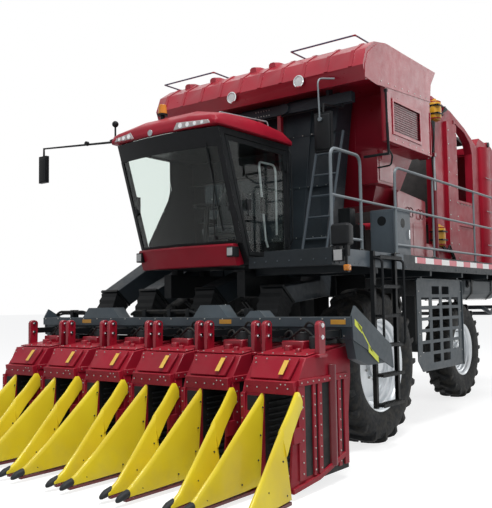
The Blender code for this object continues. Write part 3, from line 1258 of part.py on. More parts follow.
def duct_bank():
    """Six upright ducts behind the cab, flared towards the top, and the sloping ducts that feed them."""
    bank = None
    for index in range(ROW_COUNT):
        sections = []
        for half, front, depth, z in ((BANK_BOTTOM_HALF, BANK_BOTTOM_Y, BANK_DEPTH, BANK_BOTTOM_Z),
                                      (BANK_TOP_HALF, BANK_TOP_Y, BANK_DEPTH, BANK_TOP_Z)):
            pitch = 2 * half / ROW_COUNT
            low = -half + index * pitch
            step = BANK_STEP * (index % 2)
            sections.append(rect_section(low - WELD_OVERLAP / 4, low + pitch + WELD_OVERLAP / 4, front + step,
                                         front + depth + step, z))
        duct = loft("duct_bank" if bank is None else "duct", sections, GREY)
        if bank is None:
            bank = duct
        else:
            add(bank, duct)
    for mouth_x, knee_x, knee_y, knee_z, top_x, top_z in FEED_DUCT_PLACES:
        sections = []
        for x, y, z, half in ((mouth_x, FEED_MOUTH_Y, FEED_MOUTH_Z, FEED_WIDTH / 2),
                              (knee_x, knee_y, knee_z, FEED_WIDTH / 2),
                              (top_x, BANK_BOTTOM_Y + BANK_DEPTH / 2, top_z,
                               FEED_WIDTH / 2 * feed_neck_share)):
            sections.append([(x - half, y - FEED_DEPTH / 2, z + FEED_DEPTH * feed_slant_share),
                             (x + half, y - FEED_DEPTH / 2, z + FEED_DEPTH * feed_slant_share),
                             (x + half, y + FEED_DEPTH / 2, z - FEED_DEPTH * feed_slant_share),
                             (x - half, y + FEED_DEPTH / 2, z - FEED_DEPTH * feed_slant_share)])
        add(bank, loft("feed_duct", sections))
    return bank


def hood_under(y):
    """Height of the hood's sloping underside at a place along Y."""
    lip_u, lip_v = hood_side_shares[0]
    deep_u, deep_v = hood_side_shares[-1]
    share = ((y - HOOD_FRONT_Y) / HOOD_LENGTH - lip_u) / (deep_u - lip_u)
    return HOOD_LIP_Z + (lip_v + share * (deep_v - lip_v)) * (HOPPER_TOP - HOOD_LIP_Z)


def roof_beam():
    """Lamp beam hung under the hood's front edge, with two round work lamps."""
    back = BEAM_Y + BEAM_DEPTH
    beam = box("roof_beam", (-BEAM_HALF, BEAM_Y, BEAM_BOTTOM), (BEAM_HALF, back, BEAM_TOP), GREY)
    hanger = [(BEAM_Y, BEAM_TOP - WELD_OVERLAP), (back, BEAM_TOP - WELD_OVERLAP),
              (back, hood_under(back) - TOUCH_GAP), (BEAM_Y, hood_under(BEAM_Y) - TOUCH_GAP)]
    for side in (1, -1):
        add(beam, flat_piece("beam_hanger", [hanger], SIDE, side * BEAM_HANGER_X - BEAM_HANGER / 2,
                             BEAM_HANGER))
    for x in (-LAMP_X, LAMP_X):
        z = (BEAM_TOP + BEAM_BOTTOM) / 2
        add(beam, cylinder("work_lamp", (x, BEAM_Y - LAMP_DEPTH, z), (x, BEAM_Y + WELD_OVERLAP * 2, z),
                           LAMP_RADIUS,
                           16))
    return beam


def hood_rib(index):
    """A raised band that follows the hood's rounded front."""
    room = HOPPER_LEFT_X - HOPPER_RIGHT_X
    middle = HOPPER_RIGHT_X + (index + 0.5) * room / HOOD_RIB_COUNT
    front = scaled(hood_side_shares[1:5], (HOOD_FRONT_Y, HOOD_LIP_Z), (HOOD_LENGTH, HOPPER_TOP - HOOD_LIP_Z))
    outer = []
    for place_at, before, after in zip(front, front[:1] + front[:-1], front[1:] + front[-1:]):
        along = Vector((after[0] - before[0], after[1] - before[1])).normalized()
        outer.append((place_at[0] - along.y * HOOD_RIB_HEIGHT, place_at[1] + along.x * HOOD_RIB_HEIGHT))
    inner = [(y + WELD_OVERLAP, z - WELD_OVERLAP) for y, z in reversed(front)]
    return flat_piece("hood_rib", [outer + inner], SIDE, middle - HOOD_RIB_WIDTH / 2, HOOD_RIB_WIDTH)


def hood_loop(x):
    """A flat wire loop on two short legs above the hood."""
    z = HOPPER_TOP + LOOP_RISE
    corners = [(x, LOOP_Y, z), (x + LOOP_LENGTH, LOOP_Y, z), (x + LOOP_LENGTH, LOOP_Y + LOOP_DEPTH, z),
               (x, LOOP_Y + LOOP_DEPTH, z)]
    loop = tube("hood_loop", corners, LOOP_TUBE, closed=True)
    for share in loop_leg_shares:
        leg_x = x + share * LOOP_LENGTH
        add(loop, tube("loop_leg", [(leg_x, LOOP_Y + LOOP_DEPTH, z), (leg_x, LOOP_Y + LOOP_DEPTH,
                                                                      HOPPER_TOP - WELD_OVERLAP * 2)], LOOP_TUBE))
    return loop


def accumulator():
    """Cotton accumulator: ribbed hood over the ducts, tapered hopper and the overhanging left side box."""
    hood = scaled(hood_side_shares, (HOOD_FRONT_Y, HOOD_LIP_Z), (HOOD_LENGTH, HOPPER_TOP - HOOD_LIP_Z))
    body = flat_piece("accumulator", [hood], SIDE, HOPPER_RIGHT_X, HOPPER_LEFT_X - HOPPER_RIGHT_X, RED)
    front = HOPPER_FRONT_Y
    rear = HOOD_FRONT_Y + HOOD_LENGTH * HOPPER_REAR_SHARE
    foot_right, foot_left = hopper_foot_shares
    sections = [rect_section(HOPPER_RIGHT_X * foot_right, HOPPER_LEFT_X * foot_left, front + HOPPER_TAPER,
                             rear,
                             HOPPER_FOOT_Z),
                rect_section(HOPPER_RIGHT_X, HOPPER_LEFT_X - SIDE_BOX_INSET, front, rear, HOPPER_SHOULDER_Z),
                rect_section(HOPPER_RIGHT_X, HOPPER_LEFT_X - SIDE_BOX_INSET, front, rear, HOPPER_JOIN_Z)]
    add(body, loft("hopper", sections))
    add(body, box("side_box", (HOPPER_LEFT_X - SIDE_BOX_INSET - WELD_OVERLAP, front, HOPPER_SHOULDER_Z),
                  (HOPPER_LEFT_X, SIDE_BOX_Y + SIDE_BOX_LENGTH, HOPPER_JOIN_Z - WELD_OVERLAP)))
    add(body, box("side_skirt", (HOPPER_LEFT_X - SIDE_SKIRT, SIDE_BOX_Y, HOPPER_SHOULDER_Z),
                  (HOPPER_LEFT_X, front + WELD_OVERLAP, HOPPER_JOIN_Z - WELD_OVERLAP)))
    corners = scaled(side_recess_shares, (SIDE_BOX_Y, HOPPER_SHOULDER_Z),
                     (SIDE_BOX_LENGTH, HOPPER_JOIN_Z - HOPPER_SHOULDER_Z))
    cut(body, box("side_recess", (HOPPER_LEFT_X - SIDE_RECESS, *corners[0]),
                  (HOPPER_LEFT_X + CUT_OVERRUN, *corners[1])))
    add(body, box("under_box",
                  (UNDER_BOX_X, UNDER_BOX_Y, HOPPER_SHOULDER_Z + WELD_OVERLAP - UNDER_BOX_HEIGHT),
                  (UNDER_BOX_X + UNDER_BOX_WIDTH, UNDER_BOX_Y + UNDER_BOX_LENGTH,
                   HOPPER_SHOULDER_Z + WELD_OVERLAP)))
    for index in range(HOOD_RIB_COUNT):
        add(body, hood_rib(index))
    for x in LOOP_PLACES:
        add(body, hood_loop(x))
    return body


def engine_side_panel():
    """Upright red panel beside the engine, standing on the outriggers at the inner edge of the walkway."""
    foot = PLATFORM_TOP - PLATFORM_THICKNESS + WELD_OVERLAP + TOUCH_GAP
    outline = scaled(side_panel_shares, (SIDE_PANEL_Y, foot), (SIDE_PANEL_LENGTH, SIDE_PANEL_TOP - foot))
    return flat_piece("engine_side_panel", [outline], SIDE, SIDE_PANEL_X, SIDE_PANEL_THICKNESS, RED)


def builder_side(x_low, name):
    """Side plate with an arched opening and a round-shouldered top."""
    outline = scaled(builder_side_shares, (BUILDER_FRONT_Y, BUILDER_FLOOR_Z),
                     (GATE_SPLIT_Y - MOVING_GAP - BUILDER_FRONT_Y, BUILDER_TOP - BUILDER_FLOOR_Z))
    window = scaled(builder_window_shares, (BUILDER_FRONT_Y, BUILDER_FLOOR_Z),
                    (GATE_SPLIT_Y - BUILDER_FRONT_Y, BUILDER_TOP - BUILDER_FLOOR_Z))
    return flat_piece(name, [outline, window], SIDE, x_low, BUILDER_PLATE, RED)


def builder_posts(side):
    """The flat upright and the rounded column that stand proud of a side plate."""
    face = side * (BUILDER_HALF - WELD_OVERLAP)
    height = BUILDER_TOP - BUILDER_FLOOR_Z
    far = side * (BUILDER_HALF + UPRIGHT_PROUD)
    upright = box("upright", (min(face, far), UPRIGHT_Y, BUILDER_FLOOR_Z),
                  (max(face, far), UPRIGHT_Y + UPRIGHT_WIDTH,
                   BUILDER_FLOOR_Z + upright_height_share * height))
    outline = [(face + side * v * COLUMN_PROUD, COLUMN_Y + u * COLUMN_WIDTH) for u, v in column_shares]
    column = flat_piece("column", [outline], PLAN, BUILDER_FLOOR_Z, column_height_share * height)
    return upright, column


def builder_frame():
    """Side plates of the module builder, the ties, sills and belt rollers between them, and the gate's hinge pins."""
    frame = builder_side(BUILDER_HALF - BUILDER_PLATE, "builder_frame")
    add(frame, builder_side(-BUILDER_HALF, "right_side"))
    for side in (1, -1):
        add(frame, *builder_posts(side))
    for foot in CANISTER_FEET:
        add(frame, cylinder("canister", (CANISTER_X, CANISTER_Y, foot),
                            (CANISTER_X, CANISTER_Y, foot + CANISTER_HEIGHT),
                            CANISTER_RADIUS, 16))
    inner = BUILDER_HALF - BUILDER_PLATE / 2
    for along, up in builder_tie_shares:
        y = BUILDER_FRONT_Y + along * (GATE_SPLIT_Y - BUILDER_FRONT_Y)
        z = BUILDER_FLOOR_Z + up * (BUILDER_TOP - BUILDER_FLOOR_Z)
        add(frame, box("tie", (-inner, y, z), (inner, y + BUILDER_TIE, z + BUILDER_TIE)))
    for along in builder_sill_shares:
        y = BUILDER_FRONT_Y + along * (GATE_SPLIT_Y - BUILDER_FRONT_Y)
        add(frame, box("sill", (-inner, y, RAIL_TOP + TOUCH_GAP),
                       (inner, y + BUILDER_TIE, BUILDER_FLOOR_Z + BUILDER_TIE)))
    reach = CHAMBER_RADIUS + CHAMBER_WALL + TOUCH_GAP + BELT_ROLLER_RADIUS
    for angle in belt_roller_angles:
        y = CHAMBER_Y + reach * math.cos(math.radians(angle))
        z = CHAMBER_Z + reach * math.sin(math.radians(angle))
        add(frame, cylinder("belt_roller", (-inner, y, z), (inner, y, z), BELT_ROLLER_RADIUS, 16))
    gate_inner = BUILDER_HALF - GATE_PLATE - MOVING_GAP
    for side in (1, -1):
        add(frame, cylinder("gate_lug", (side * (BUILDER_HALF - BUILDER_PLATE), GATE_SPLIT_Y, GATE_HINGE_Z),
                            (side * gate_inner, GATE_SPLIT_Y, GATE_HINGE_Z), GATE_LUG_RADIUS, 16))
        cut(frame, cylinder("gate_ear_room", (side * gate_inner, GATE_SPLIT_Y, GATE_HINGE_Z),
                            (side * (BUILDER_HALF + CUT_OVERRUN), GATE_SPLIT_Y, GATE_HINGE_Z),
                            GATE_EAR_RADIUS + MOVING_GAP, 16))
        add(frame, cylinder("gate_pin", (side * (gate_inner - WELD_OVERLAP), GATE_SPLIT_Y, GATE_HINGE_Z),
                            (side * BUILDER_HALF, GATE_SPLIT_Y, GATE_HINGE_Z), GATE_PIN_RADIUS, 16))
    return frame


def chamber_wall(name, start, end, material):
    """A stretch of the round chamber's belt wall."""
    outer = arc((CHAMBER_Y, CHAMBER_Z), CHAMBER_RADIUS + CHAMBER_WALL, start, end, 14)
    inner = arc((CHAMBER_Y, CHAMBER_Z), CHAMBER_RADIUS, end, start, 14)
    return flat_piece(name, [outer + inner], SIDE, -CHAMBER_HALF, 2 * CHAMBER_HALF, material)


def module_belts():
    return chamber_wall("module_belts", 70.0, 262.0, BELT)


def rear_gate():
    """Round gate that closes the chamber, hinged along its top edge."""
    size = (GATE_LENGTH, GATE_HINGE_Z + GATE_HUMP - GATE_BOTTOM)
    outline = scaled(gate_side_shares, (GATE_SPLIT_Y, GATE_BOTTOM), size)
    gate = flat_piece("rear_gate", [outline], SIDE, BUILDER_HALF - GATE_PLATE, GATE_PLATE, RED)
    add(gate, flat_piece("gate_right_side", [outline], SIDE, -BUILDER_HALF, GATE_PLATE))
    wall = scaled(gate_wall_shares, (GATE_SPLIT_Y, GATE_BOTTOM), size)
    add(gate, flat_piece("gate_wall", [wall], SIDE, -BUILDER_HALF + GATE_PLATE / 2,
                         2 * BUILDER_HALF - GATE_PLATE))
    for side in (1, -1):
        near, far = side * (BUILDER_HALF - GATE_PLATE), side * BUILDER_HALF
        add(gate, cylinder("gate_ear", (near, GATE_SPLIT_Y, GATE_HINGE_Z), (far, GATE_SPLIT_Y, GATE_HINGE_Z),
                           GATE_EAR_RADIUS, 16))
        cut(gate, cylinder("gate_bore", (near - side * CUT_OVERRUN, GATE_SPLIT_Y, GATE_HINGE_Z),
                           (far + side * CUT_OVERRUN, GATE_SPLIT_Y,
                            GATE_HINGE_Z), GATE_PIN_RADIUS + PIN_GAP, 16))
    return gate


def bale_handler():
    """Cradle behind the gate: two arms, a front tube and a rear roller bar."""
    y, z = HANDLER_PIVOT_Y, HANDLER_PIVOT_Z
    far = y + HANDLER_REACH
    handler = tube("bale_handler", [(-HANDLER_HALF, y, z), (HANDLER_HALF, y, z)], HANDLER_TUBE, GREY)
    for x in (-HANDLER_HALF, HANDLER_HALF):
        add(handler, tube("handler_arm",
                          [(x, y, z), (x, y + HANDLER_REACH * HANDLER_SADDLE_SHARE, z - HANDLER_SAG),
                           (x, far, z)],
                          HANDLER_TUBE))
    add(handler, tube("handler_bar", [(-HANDLER_HALF, far, z), (HANDLER_HALF, far, z)], HANDLER_TUBE))
    add(handler, tube("handler_roller",
                      [(-HANDLER_HALF, y + HANDLER_REACH * HANDLER_SADDLE_SHARE, z - HANDLER_SAG),
                                         (HANDLER_HALF, y + HANDLER_REACH * HANDLER_SADDLE_SHARE,
                                          z - HANDLER_SAG)], HANDLER_TUBE))
    return handler


def mirror(name, root, neck, elbow, hang, high, wide):
    """A mirror on a bent arm that leaves its mounting face squarely."""
    arm = tube(name, [root, neck, elbow, hang], MIRROR_TUBE, BLACK)
    x, y, z = hang
    add(arm, box("mirror_head", (x - wide / 2, y - MIRROR_DEPTH / 2, z - high),
                 (x + wide / 2, y + MIRROR_DEPTH / 2,
                                                                             z + WELD_OVERLAP)))
    return arm


def mirrors():
    roof_side = -CAB_HALF - ROOF_OVERHANG - TOUCH_GAP
    root = Vector((roof_side, MIRROR_RIGHT_ROOT_Y, MIRROR_RIGHT_ROOT_Z))
    tip = Vector((-MIRROR_RIGHT_X, MIRROR_RIGHT_Y, MIRROR_RIGHT_Z))
    drop = Vector((0.0, 0.0, MIRROR_DROP))
    mirror("mirror_right_side", root, root - Vector((MIRROR_NECK, 0.0, 0.0)), tip, tip - drop,
           MIRROR_RIGHT_HIGH,
           MIRROR_RIGHT_WIDE)
    root = Vector((MIRROR_LEFT_X, BEAM_Y + BEAM_DEPTH / 2, BEAM_BOTTOM - TOUCH_GAP))
    tip = Vector((MIRROR_LEFT_X, MIRROR_LEFT_Y, MIRROR_LEFT_Z))
    mirror("mirror_left_side", root, root - Vector((0.0, 0.0, MIRROR_NECK)), tip, tip - drop,
           MIRROR_LEFT_HIGH,
           MIRROR_LEFT_WIDE)


def hang_on(place_at, *items):
    """Move the origin of each moving piece to a point on its joint's axis, its shape staying where it is."""
    for item in items:
        moved = item.matrix_world.copy()
        moved.translation = Vector(place_at)
        item.data.transform(moved.inverted() @ item.matrix_world)
        item.matrix_world = moved


def build():
    front_axle()
    rear_axle()
    chassis_frame()
    heads = [picker_head(index) for index in range(1, ROW_COUNT + 1)]
    hang_on((0.0, LIFT_PIVOT_Y, LIFT_PIVOT_Z), header_toolbar(), *heads)
    for label, side in (("left", 1), ("right", -1)):
        hang_on((side * (REAR_TRACK / 2 - KINGPIN_INSET), REAR_AXLE_Y, REAR_TYRE_RADIUS),
                steering_knuckle(label, side))
        hang_on((side * LIFT_ARM_X, RAM_FOOT_Y, RAM_FOOT_Z), *lift_ram(label, side))
    cab_frame()
    windscreen()
    cab_glass()
    hang_on((CAB_HALF, CAB_REAR_Y - PILLAR, CAB_FLOOR_Z), *cab_door())
    cab_roof()
    operator_seat()
    steering_column()
    side_platform()
    service_cabinet()
    access_ladder()
    platform_railings()
    upper_ladder()
    guard_panel()
    fuel_tank()
    engine_block()
    duct_bank()
    roof_beam()
    accumulator()
    engine_side_panel()
    builder_frame()
    module_belts()
    hang_on((0.0, GATE_SPLIT_Y, GATE_HINGE_Z), rear_gate())
    hang_on((0.0, HANDLER_PIVOT_Y, HANDLER_PIVOT_Z), bale_handler())
    mirrors()
    wheels()


build()
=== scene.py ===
"""Looks for a six-row self-propelled cotton picker with an on-board round module builder.

Metres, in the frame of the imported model: +Z up, the front faces -Y, the machine's own left is +X.
"""

import json
import math

import bmesh
import bpy
from mathutils import Matrix, Vector

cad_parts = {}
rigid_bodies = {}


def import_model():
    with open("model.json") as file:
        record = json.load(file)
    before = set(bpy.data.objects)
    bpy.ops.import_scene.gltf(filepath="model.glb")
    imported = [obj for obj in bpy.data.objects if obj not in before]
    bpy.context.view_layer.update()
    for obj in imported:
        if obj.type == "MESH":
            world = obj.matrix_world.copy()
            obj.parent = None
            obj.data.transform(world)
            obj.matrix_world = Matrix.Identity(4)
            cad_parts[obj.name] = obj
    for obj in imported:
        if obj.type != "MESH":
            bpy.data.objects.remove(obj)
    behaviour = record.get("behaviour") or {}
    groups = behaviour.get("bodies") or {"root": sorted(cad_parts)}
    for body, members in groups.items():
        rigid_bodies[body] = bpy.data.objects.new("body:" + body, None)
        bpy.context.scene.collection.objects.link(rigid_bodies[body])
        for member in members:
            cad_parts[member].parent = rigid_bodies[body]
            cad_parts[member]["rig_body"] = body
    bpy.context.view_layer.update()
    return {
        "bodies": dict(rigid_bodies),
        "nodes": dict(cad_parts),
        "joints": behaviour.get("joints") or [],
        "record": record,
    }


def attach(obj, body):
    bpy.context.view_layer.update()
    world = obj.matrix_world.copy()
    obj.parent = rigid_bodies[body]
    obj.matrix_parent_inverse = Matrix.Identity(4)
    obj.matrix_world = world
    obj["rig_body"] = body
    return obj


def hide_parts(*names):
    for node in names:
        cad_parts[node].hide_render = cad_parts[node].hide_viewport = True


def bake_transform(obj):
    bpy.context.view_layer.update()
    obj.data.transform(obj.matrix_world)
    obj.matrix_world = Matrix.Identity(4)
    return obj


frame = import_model()
NODES = frame["nodes"]

MM = 0.001
FULL_TURN = math.tau
SMOOTH_ANGLE = 38.0
# Below real glass, so that the panes mirror less of the pale surround
PANE_INDEX = 1.22
ACRYLIC_INDEX = 1.49
WHITE = (1.0, 1.0, 1.0, 1.0)
# Faces of the CAD that trim sits on, each with the 0.3 mm that the trim stands off it
DECK_SKIN = 2.3003
DECK_SIDE = 1.9503
SIDE_BOX_SKIN = 1.9203
BUILDER_SKIN = 1.5003


# Colours and node trees


def linear(code):
    """Turn an sRGB hex code into linear colour with full alpha."""
    channels = [int(code[index:index + 2], 16) / 255 for index in (0, 2, 4)]
    return tuple(c / 12.92 if c <= 0.04045 else ((c + 0.055) / 1.055) ** 2.4 for c in channels) + (1.0,)


def add_node(tree, kind, inputs=None, **settings):
    """Add one node: settings are its own values, inputs hold values or the sockets that feed it."""
    item = tree.nodes.new(kind)
    for key, value in settings.items():
        setattr(item, key, value)
    for key, value in (inputs or {}).items():
        if isinstance(value, bpy.types.NodeSocket):
            tree.links.new(value, item.inputs[key])
        else:
            item.inputs[key].default_value = value
    return item


def new_material(name):
    material = bpy.data.materials.new(name)
    material.use_nodes = True
    tree = material.node_tree
    return material, tree, tree.nodes["Principled BSDF"]


def noise_at(tree, size_mm, detail=3.0, rough=0.55, stretch=None):
    """Noise whose blotches are about size_mm across, on object coordinates."""
    place = add_node(tree, "ShaderNodeTexCoord").outputs["Object"]
    if stretch is not None:
        place = add_node(tree, "ShaderNodeMapping", {"Vector": place, "Scale": stretch}).outputs["Vector"]
    inputs = {"Vector": place, "Scale": 1.0 / (size_mm * MM), "Detail": detail, "Roughness": rough}
    return add_node(tree, "ShaderNodeTexNoise", inputs).outputs["Fac"]


def cells_at(tree, size_mm):
    """Cells about size_mm across, on object coordinates, as the distance from each one's middle."""
    place = add_node(tree, "ShaderNodeTexCoord").outputs["Object"]
    inputs = {"Vector": place, "Scale": 1.0 / (size_mm * MM)}
    return add_node(tree, "ShaderNodeTexVoronoi", inputs).outputs["Distance"]


def reckon(tree, operation, *values):
    """One step of arithmetic on numbers or sockets."""
    return add_node(tree, "ShaderNodeMath", dict(enumerate(values)), operation=operation).outputs[0]


def ramp(tree, value, low, high, low_out=0.0, high_out=1.0):
    """Map a value between two limits, clamped."""
    return add_node(tree, "ShaderNodeMapRange", {"Value": value, "From Min": low, "From Max": high,
                                                 "To Min": low_out, "To Max": high_out}).outputs["Result"]


def mix(tree, share, first, second):
    """Mix two colours by a share that may be a socket."""
    item = add_node(tree, "ShaderNodeMix", data_type="RGBA")
    for socket, value in ((item.inputs[0], share), (item.inputs[6], first), (item.inputs[7], second)):
        if isinstance(value, bpy.types.NodeSocket):
            tree.links.new(value, socket)
        else:
            socket.default_value = value
    return item.outputs[2]


def dust_share(tree, amount, ceiling_m):
    """Dust gathers on faces that look up and low on the machine, broken up by blotches."""
    normal = add_node(tree, "ShaderNodeNewGeometry").outputs["Normal"]
    up = add_node(tree, "ShaderNodeSeparateXYZ", {"Vector": normal}).outputs["Z"]
    place = add_node(tree, "ShaderNodeTexCoord").outputs["Object"]
    height = add_node(tree, "ShaderNodeSeparateXYZ", {"Vector": place}).outputs["Z"]
    top = ramp(tree, up, 0.2, 1.0, 0.0, 0.6)
    low = ramp(tree, height, 0.0, ceiling_m, 0.7, 0.0)
    broken = ramp(tree, noise_at(tree, 180, 5.0), 0.35, 0.75)
    share = reckon(tree, "MULTIPLY", reckon(tree, "MAXIMUM", top, low), broken)
    return reckon(tree, "MULTIPLY", share, amount)


def bump(tree, shader, height, distance_mm, strength=0.5):
    tree.links.new(add_node(tree, "ShaderNodeBump", {"Height": height, "Distance": distance_mm * MM,
                                                     "Strength": strength}).outputs["Normal"],
                   shader.inputs["Normal"])


def paint(name, colour, deep, rough=0.32, coat=0.35, dust="8c8174", dust_amount=0.35, ceiling_m=1.2,
          peel_mm=7.0, metallic=0.0, gloss=0.30):
    """Sprayed two-pack enamel: soft orange peel under a clear gloss, sun-faded patches and field dust.

    The peel is really 2 mm across and is drawn coarser so that it shows.
    """
    material, tree, shader = new_material(name)
    fade = ramp(tree, noise_at(tree, 700, 2.0), 0.35, 0.7)
    base = mix(tree, fade, linear(colour), linear(deep))
    dusty = mix(tree, dust_share(tree, dust_amount, ceiling_m), base, linear(dust))
    tree.links.new(dusty, shader.inputs["Base Color"])
    tree.links.new(ramp(tree, noise_at(tree, 120, 4.0), 0.3, 0.7, rough * 0.85, rough * 1.3),
                   shader.inputs["Roughness"])
    shader.inputs["Coat Weight"].default_value = coat
    shader.inputs["Coat Roughness"].default_value = 0.12
    shader.inputs["Metallic"].default_value = metallic
    shader.inputs["Specular IOR Level"].default_value = gloss
    bump(tree, shader, noise_at(tree, peel_mm, 2.0), 0.25, 0.25)
    return material


def powder_coat(name, colour, deep, rough=0.5, dust_amount=0.4, gloss=0.30, ceiling_m=1.4):
    """Satin powder coat on fabricated steel: fine pebbled skin, dull sheen and dust on the ledges."""
    material, tree, shader = new_material(name)
    patch = ramp(tree, noise_at(tree, 400, 3.0), 0.3, 0.7)
    base = mix(tree, patch, linear(colour), linear(deep))
    dusty = mix(tree, dust_share(tree, dust_amount, ceiling_m), base, linear("9a9082"))
    tree.links.new(dusty, shader.inputs["Base Color"])
    tree.links.new(ramp(tree, noise_at(tree, 60, 4.0), 0.3, 0.7, rough * 0.85, rough * 1.2),
                   shader.inputs["Roughness"])
    shader.inputs["Specular IOR Level"].default_value = gloss
    bump(tree, shader, noise_at(tree, 5, 2.0), 0.3, 0.3)
    return material


def plain(name, colour, rough, metallic=0.0, pebble_mm=4.0, strength=0.2, variation="", variation_mm=90,
          gloss=0.4):
    """A moulded or machined finish: one colour with a second tone worked in, and a fine skin."""
    material, tree, shader = new_material(name)
    share = ramp(tree, noise_at(tree, variation_mm, 4.0), 0.3, 0.75)
    tree.links.new(mix(tree, share, linear(colour), linear(variation or colour)), shader.inputs["Base Color"])
    shader.inputs["Roughness"].default_value = rough
    shader.inputs["Metallic"].default_value = metallic
    if not metallic:
        shader.inputs["Specular IOR Level"].default_value = gloss
    bump(tree, shader, noise_at(tree, pebble_mm, 2.0), 0.3, strength)
    return material


def glass_pane(name, colour, rough=0.03):
    """Tinted toughened glass: clear body with a green cast, and a film of dust that dulls it a little."""
    material, tree, shader = new_material(name)
    film = ramp(tree, noise_at(tree, 220, 4.0), 0.45, 0.85, rough, rough + 0.05)
    shader.inputs["Base Color"].default_value = linear(colour)
    shader.inputs["Transmission Weight"].default_value = 1.0
    shader.inputs["IOR"].default_value = PANE_INDEX
    tree.links.new(film, shader.inputs["Roughness"])
    return material


def lens(name, colour, rough=0.12, through=0.35, rib_mm=12.0):
    """Moulded lamp or reflector lens: coloured acrylic with a prism pattern on its inner face."""
    material, tree, shader = new_material(name)
    shader.inputs["Base Color"].default_value = linear(colour)
    shader.inputs["Roughness"].default_value = rough
    shader.inputs["Transmission Weight"].default_value = through
    shader.inputs["IOR"].default_value = ACRYLIC_INDEX
    bump(tree, shader, cells_at(tree, rib_mm), 1.5, 0.6)
    return material


def striped_tape(name, first, second, pitch_mm):
    """Retroreflective tape with blocks of two colours along the machine and a honeycomb skin."""
    material, tree, shader = new_material(name)
    place = add_node(tree, "ShaderNodeTexCoord").outputs["Object"]
    along = add_node(tree, "ShaderNodeSeparateXYZ", {"Vector": place}).outputs["Y"]
    part = reckon(tree, "FRACT", reckon(tree, "MULTIPLY", along, 1.0 / (pitch_mm * MM)))
    second_half = reckon(tree, "GREATER_THAN", part, 0.5)
    tree.links.new(mix(tree, second_half, linear(first), linear(second)), shader.inputs["Base Color"])
    shader.inputs["Roughness"].default_value = 0.3
    bump(tree, shader, cells_at(tree, 8), 0.5, 0.3)
    return material


def tyre_rubber():
    """Vulcanised carbon-black rubber, brown with blotches of dry soil."""
    material, tree, shader = new_material("vulcanised_rubber")
    soil = ramp(tree, noise_at(tree, 90, 5.0), 0.42, 0.72)
    base = mix(tree, soil, linear("191b1d"), linear("35332f"))
    tree.links.new(base, shader.inputs["Base Color"])
    tree.links.new(ramp(tree, noise_at(tree, 40, 3.0), 0.3, 0.7, 0.62, 0.85), shader.inputs["Roughness"])
    shader.inputs["Specular IOR Level"].default_value = 0.22
    bump(tree, shader, noise_at(tree, 9, 4.0), 1.2, 0.5)
    return material


def ribbed_belt():
    """Module-forming belt: black rubber with a chevron cover drawn as close ribs."""
    material, tree, shader = new_material("ribbed_belt_rubber")
    place = add_node(tree, "ShaderNodeTexCoord").outputs["Object"]
    inputs = {"Vector": place, "Scale": 1.0 / (70 * MM) / FULL_TURN, "Distortion": 0.0}
    ribs = add_node(tree, "ShaderNodeTexWave", inputs, bands_direction="X", wave_profile="TRI").outputs["Fac"]
    worn = ramp(tree, noise_at(tree, 150, 4.0), 0.3, 0.7)
    tree.links.new(mix(tree, worn, linear("1d1d1e"), linear("3a3836")), shader.inputs["Base Color"])
    shader.inputs["Roughness"].default_value = 0.75
    bump(tree, shader, ribs, 4.0, 0.5)
    return material


def woven_cloth(name, colour, light):
    """Flat-woven seat cloth: real threads are 1.2 mm apart, and are drawn coarser so that the weave shows."""
    material, tree, shader = new_material(name)
    place = add_node(tree, "ShaderNodeTexCoord").outputs["Object"]
    threads = []
    for direction in ("X", "Z"):
        inputs = {"Vector": place, "Scale": 1.0 / (4 * MM) / FULL_TURN}
        threads.append(add_node(tree, "ShaderNodeTexWave", inputs, bands_direction=direction).outputs["Fac"])
    weave = reckon(tree, "MULTIPLY", *threads)
    tree.links.new(mix(tree, weave, linear(colour), linear(light)), shader.inputs["Base Color"])
    shader.inputs["Roughness"].default_value = 0.9
    shader.inputs["Sheen Weight"].default_value = 0.25
    bump(tree, shader, weave, 0.6, 0.5)
    return material


RED = paint("crimson_two_pack_enamel", "9a192c", "861325", 0.32, 0.20, dust_amount=0.24)
SATIN_RED = paint("crimson_satin_enamel", "9a192c", "861325", 0.40, 0.05, dust_amount=0.20, gloss=0.14)
DARK_RED = paint("wine_two_pack_enamel", "6e1020", "5c0d1a", 0.36, 0.2, dust_amount=0.28)
YELLOW = paint("canary_two_pack_enamel", "ecd62c", "dcc226", 0.38, 0.2, dust_amount=0.40, ceiling_m=0.5)
GREY = powder_coat("slate_powder_coat", "414b52", "374147", 0.45, 0.35)
DECK = powder_coat("graphite_powder_coat", "1c2328", "161c20", 0.50, 0.22, 0.22)
DUCT_GREY = powder_coat("dark_slate_powder_coat", "2b343b", "232b31", 0.48, 0.25)
TUBE_GREY = powder_coat("mid_grey_powder_coat", "747c81", "676f74", 0.42, 0.30)
LADDER_GREY = powder_coat("blue_grey_powder_coat", "4c565e", "424b52", 0.42, 0.30)
BLACK_STEEL = powder_coat("black_powder_coat", "14171a", "0f1214", 0.50, 0.16, 0.15)
WHEEL_PAINT = paint("wheel_silver_enamel", "dfe3e6", "c9ced2", 0.36, 0.2, dust_amount=0.25, ceiling_m=1.6,
                    metallic=0.55)
BOLT = plain("zinc_plated_steel", "b9bab6", 0.35, 0.9, variation="8f8d86", variation_mm=8)
CHROME = plain("hard_chrome", "d7d9db", 0.12, 1.0, strength=0.02)
BLACK_PLASTIC = plain("moulded_black_abs", "0f1113", 0.50, variation="15171a", gloss=0.16)
TANK_PLASTIC = plain("rotomoulded_polyethylene", "474d51", 0.55, variation="3c4246", variation_mm=300,
                     gloss=0.3)
CASTING = plain("painted_grey_iron", "24282a", 0.60, variation="1b1d1f", pebble_mm=12.0, strength=0.4,
                gloss=0.3)
RUBBER = tyre_rubber()
BOOT_RUBBER = plain("folded_black_rubber", "0d0f11", 0.65, variation="141618", gloss=0.2)
